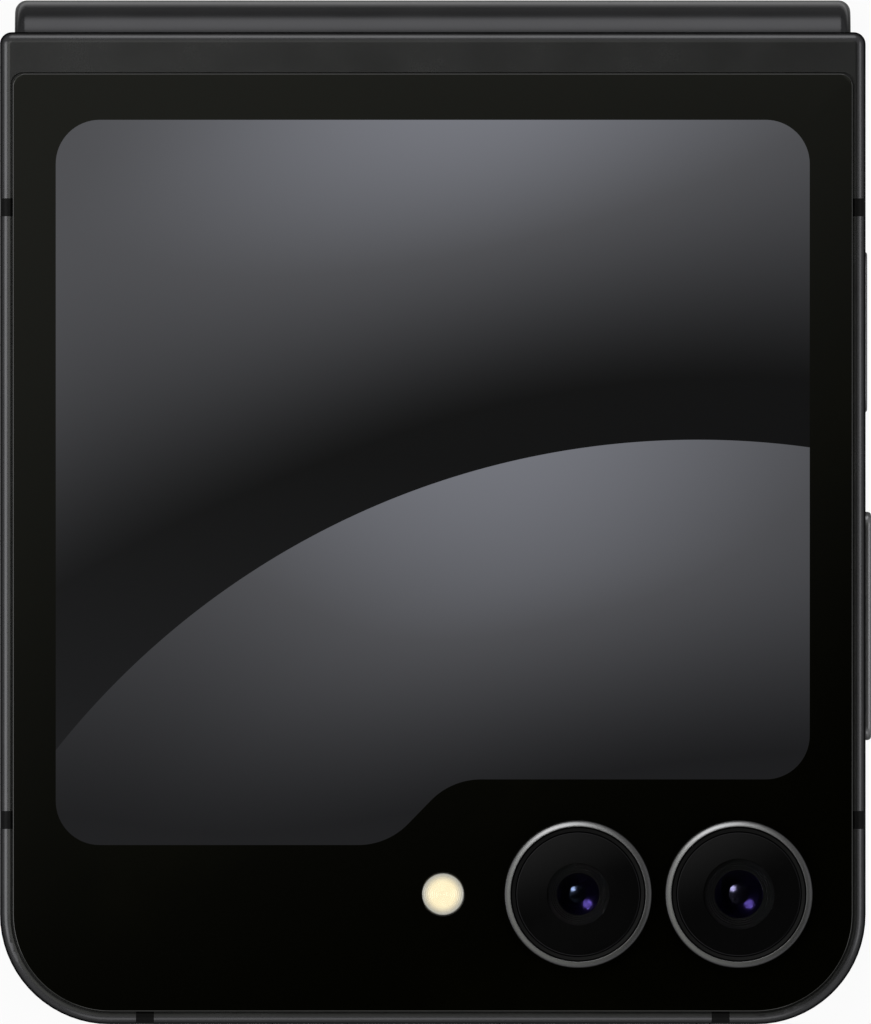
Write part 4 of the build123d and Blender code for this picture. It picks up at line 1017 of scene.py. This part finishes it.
def addFoldingDisplay(name, upper):
    f = foldSet
    flip = -1 if upper else 1
    depths = (0.0, f["thick"])

    def place(x, y, z):  # from the lower axis into the row frame, turned over for the upper half
        return x, body["axisY"] + y, body["midZ"] + flip * (z - f["offset"])

    def bentRows(depth):  # (y, z) of each row of the bent stretch, the last on the hinge's middle plane
        shares = [i / f["rows"] for i in range(f["rows"] + 1)]
        rows = [foldRow(t, depth + creaseDepth(t)) for t in shares]
        return rows + [(rows[-1][0], f["offset"])]

    build = Build()
    near = body["freeY"] + f["end"] + f["corner"] - body["axisY"]
    corners = arcPoints((-f["reach"] + f["corner"], near), f["corner"], 180, 270, f["cornerSteps"])
    corners += arcPoints((f["reach"] - f["corner"], near), f["corner"], 270, 360, f["cornerSteps"])
    holes = []
    if upper:
        centre = (0, body["freeY"] + f["holeFromEnd"] - body["axisY"])
        holes = [circlePoints(centre, f["hole"], f["holeSteps"])]
    xs = [-f["reach"] + 2 * f["reach"] * i / f["columns"] for i in range(f["columns"] + 1)]
    for depth in depths:
        startY, startZ = foldRow(0, depth)
        plan, faces, _ = fillPlan([(x, startY) for x in reversed(xs)] + corners, holes)
        first = len(build.verts)
        build.verts += [place(x, y, startZ) for x, y in plan]
        build.faces += [tuple(first + i for i in face) for face in faces]
        build.picks += [0] * len(faces)
        build.addWalls([[place(x, *row) for x in xs] for row in bentRows(depth)], closed=False)
    edges = []
    for depth in depths:
        y, z = foldRow(0, depth)
        edges.append([place(*p, z) for p in [(-f["reach"], y), *corners, (f["reach"], y)]])
    build.addWalls(edges, closed=False)
    for hole in holes:
        build.addWalls([[place(*p, foldRow(0, depth)[1]) for p in hole] for depth in depths])
    for x in (xs[0], xs[-1]):
        build.addWalls([[place(x, *row) for row in bentRows(depth)] for depth in depths], closed=False)
    build.addWalls([[place(x, *bentRows(depth)[-1]) for x in xs] for depth in depths], closed=False)
    piece = addPiece(name, build, [foldFilm])
    dy, dz = foldDirection()
    start = Vector(place(0, f["startY"], f["face"])) * mm
    end = Vector(place(0, f["startY"] + dy, f["face"] + dz)) * mm
    blendAtHinge(piece, upper, start, end)
    return piece


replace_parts(addFoldingDisplay("screenLower", False), "lower_display", "display_fold")
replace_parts(addFoldingDisplay("screenUpper", True), "upper_display", "display_fold")


# Small camera behind the hole in the upper screen: a black face with a lens in its middle

selfieSet = {
    "back": 8.43, "face": 8.04, "radius": 1.66, "round": 0.05, "well": 0.8, "wellZ": 8.16,
    "bead": 0.72, "bend": 1.9, "rows": 8,
}


def addSelfieLens():
    s = selfieSet
    centre = (0, body["freeY"] + foldSet["holeFromEnd"])
    rim = [(s["radius"], s["back"]), (s["radius"], s["face"] + s["round"]),
           (s["radius"] - s["round"], s["face"]), (s["well"], s["face"]), (s["bead"], s["wellZ"])]
    crown = s["wellZ"] - bendZ(s["bead"], s["bend"])
    bead = [(r, crown + bendZ(r, s["bend"])) for r in rowsInward(s["bead"], s["rows"])]
    foot = [(0, s["back"]), (s["radius"], s["back"])]
    build = Build()
    build.addTurned(centre, rim + bead + foot, [0] * 4 + [1] * s["rows"] + [0, 0], 64)
    piece = addPiece("selfieLens", build, [selfieBlack, selfieCoat])
    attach(piece, "upper_half")


selfieBlack = glossMaterial("selfieBlack", (0.0008, 0.0008, 0.0008), 0.1, Specular_IOR_Level=0.12)
selfieCoat = glossMaterial("selfieCoat", (0.004, 0.005, 0.012), 0.05, 0.0, Specular_IOR_Level=0.6)
addSelfieLens()


# Ribbon through the hinge, in two lengths that meet at the back of their loop

ribbonSet = {
    "half": 4.5, "thick": 0.14, "runZ": 1.95, "riseY": -6.05,
    "ease": (0.3, 0.025),  # reach and drop of the soft turn from the run into the rise
    "rows": 12, "loop": 2.45, "lowerBack": -55.0, "upperBack": -43.0, "blendStart": (-4.2, -2.2),
    "blendEnd": (2.4, 0.0),
}


def addRibbon(name, upper):
    r = ribbonSet
    flip = -1 if upper else 1
    back = r["upperBack"] if upper else r["lowerBack"]
    ease, drop = r["ease"]
    line = [(back, -r["runZ"]), (r["riseY"] - ease, -r["runZ"]), (r["riseY"] + ease, -r["runZ"] - drop)]
    for i in range(2, r["rows"]):
        share = i / r["rows"]
        line.append((r["riseY"] * (1 - share), -r["runZ"] - (r["loop"] - r["runZ"]) * share))
    line += arcPoints((0, 0), r["loop"], -90, 0, r["rows"])
    build = Build()
    sides = []
    for offset in (-r["thick"] / 2, r["thick"] / 2):
        edge = []
        for i, (y, z) in enumerate(line):
            before, after = line[max(i - 1, 0)], line[min(i + 1, len(line) - 1)]
            along = Vector((after[0] - before[0], after[1] - before[1])).normalized()
            if i == len(line) - 1:
                along = Vector((0, 1))
            edge.append((y - along[1] * offset, z + along[0] * offset))
        sides.append(edge)
    section = sides[0] + sides[1][::-1]
    rings = []
    for x in (-r["half"], -r["half"] / 3, r["half"] / 3, r["half"]):
        rings.append([(x, body["axisY"] + y, body["midZ"] + flip * z) for y, z in section])
    build.addWalls(rings)
    count = len(line)
    for ring in (0, len(rings) - 1):
        base = ring * 2 * count
        for i in range(count - 1):
            build.faces.append((base + i, base + i + 1, base + 2 * count - 2 - i, base + 2 * count - 1 - i))
            build.picks.append(0)
    piece = addPiece(name, build, [switchFlex])
    ends = []
    for y, z in (r["blendStart"], r["blendEnd"]):
        ends.append(Vector((0, body["axisY"] + y, body["midZ"] + flip * z)) * mm)
    blendAtHinge(piece, upper, *ends)
    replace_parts(piece, "hinge_flex_cable")


addRibbon("ribbonLower", False)
addRibbon("ribbonUpper", True)
print("folding display and ribbon")
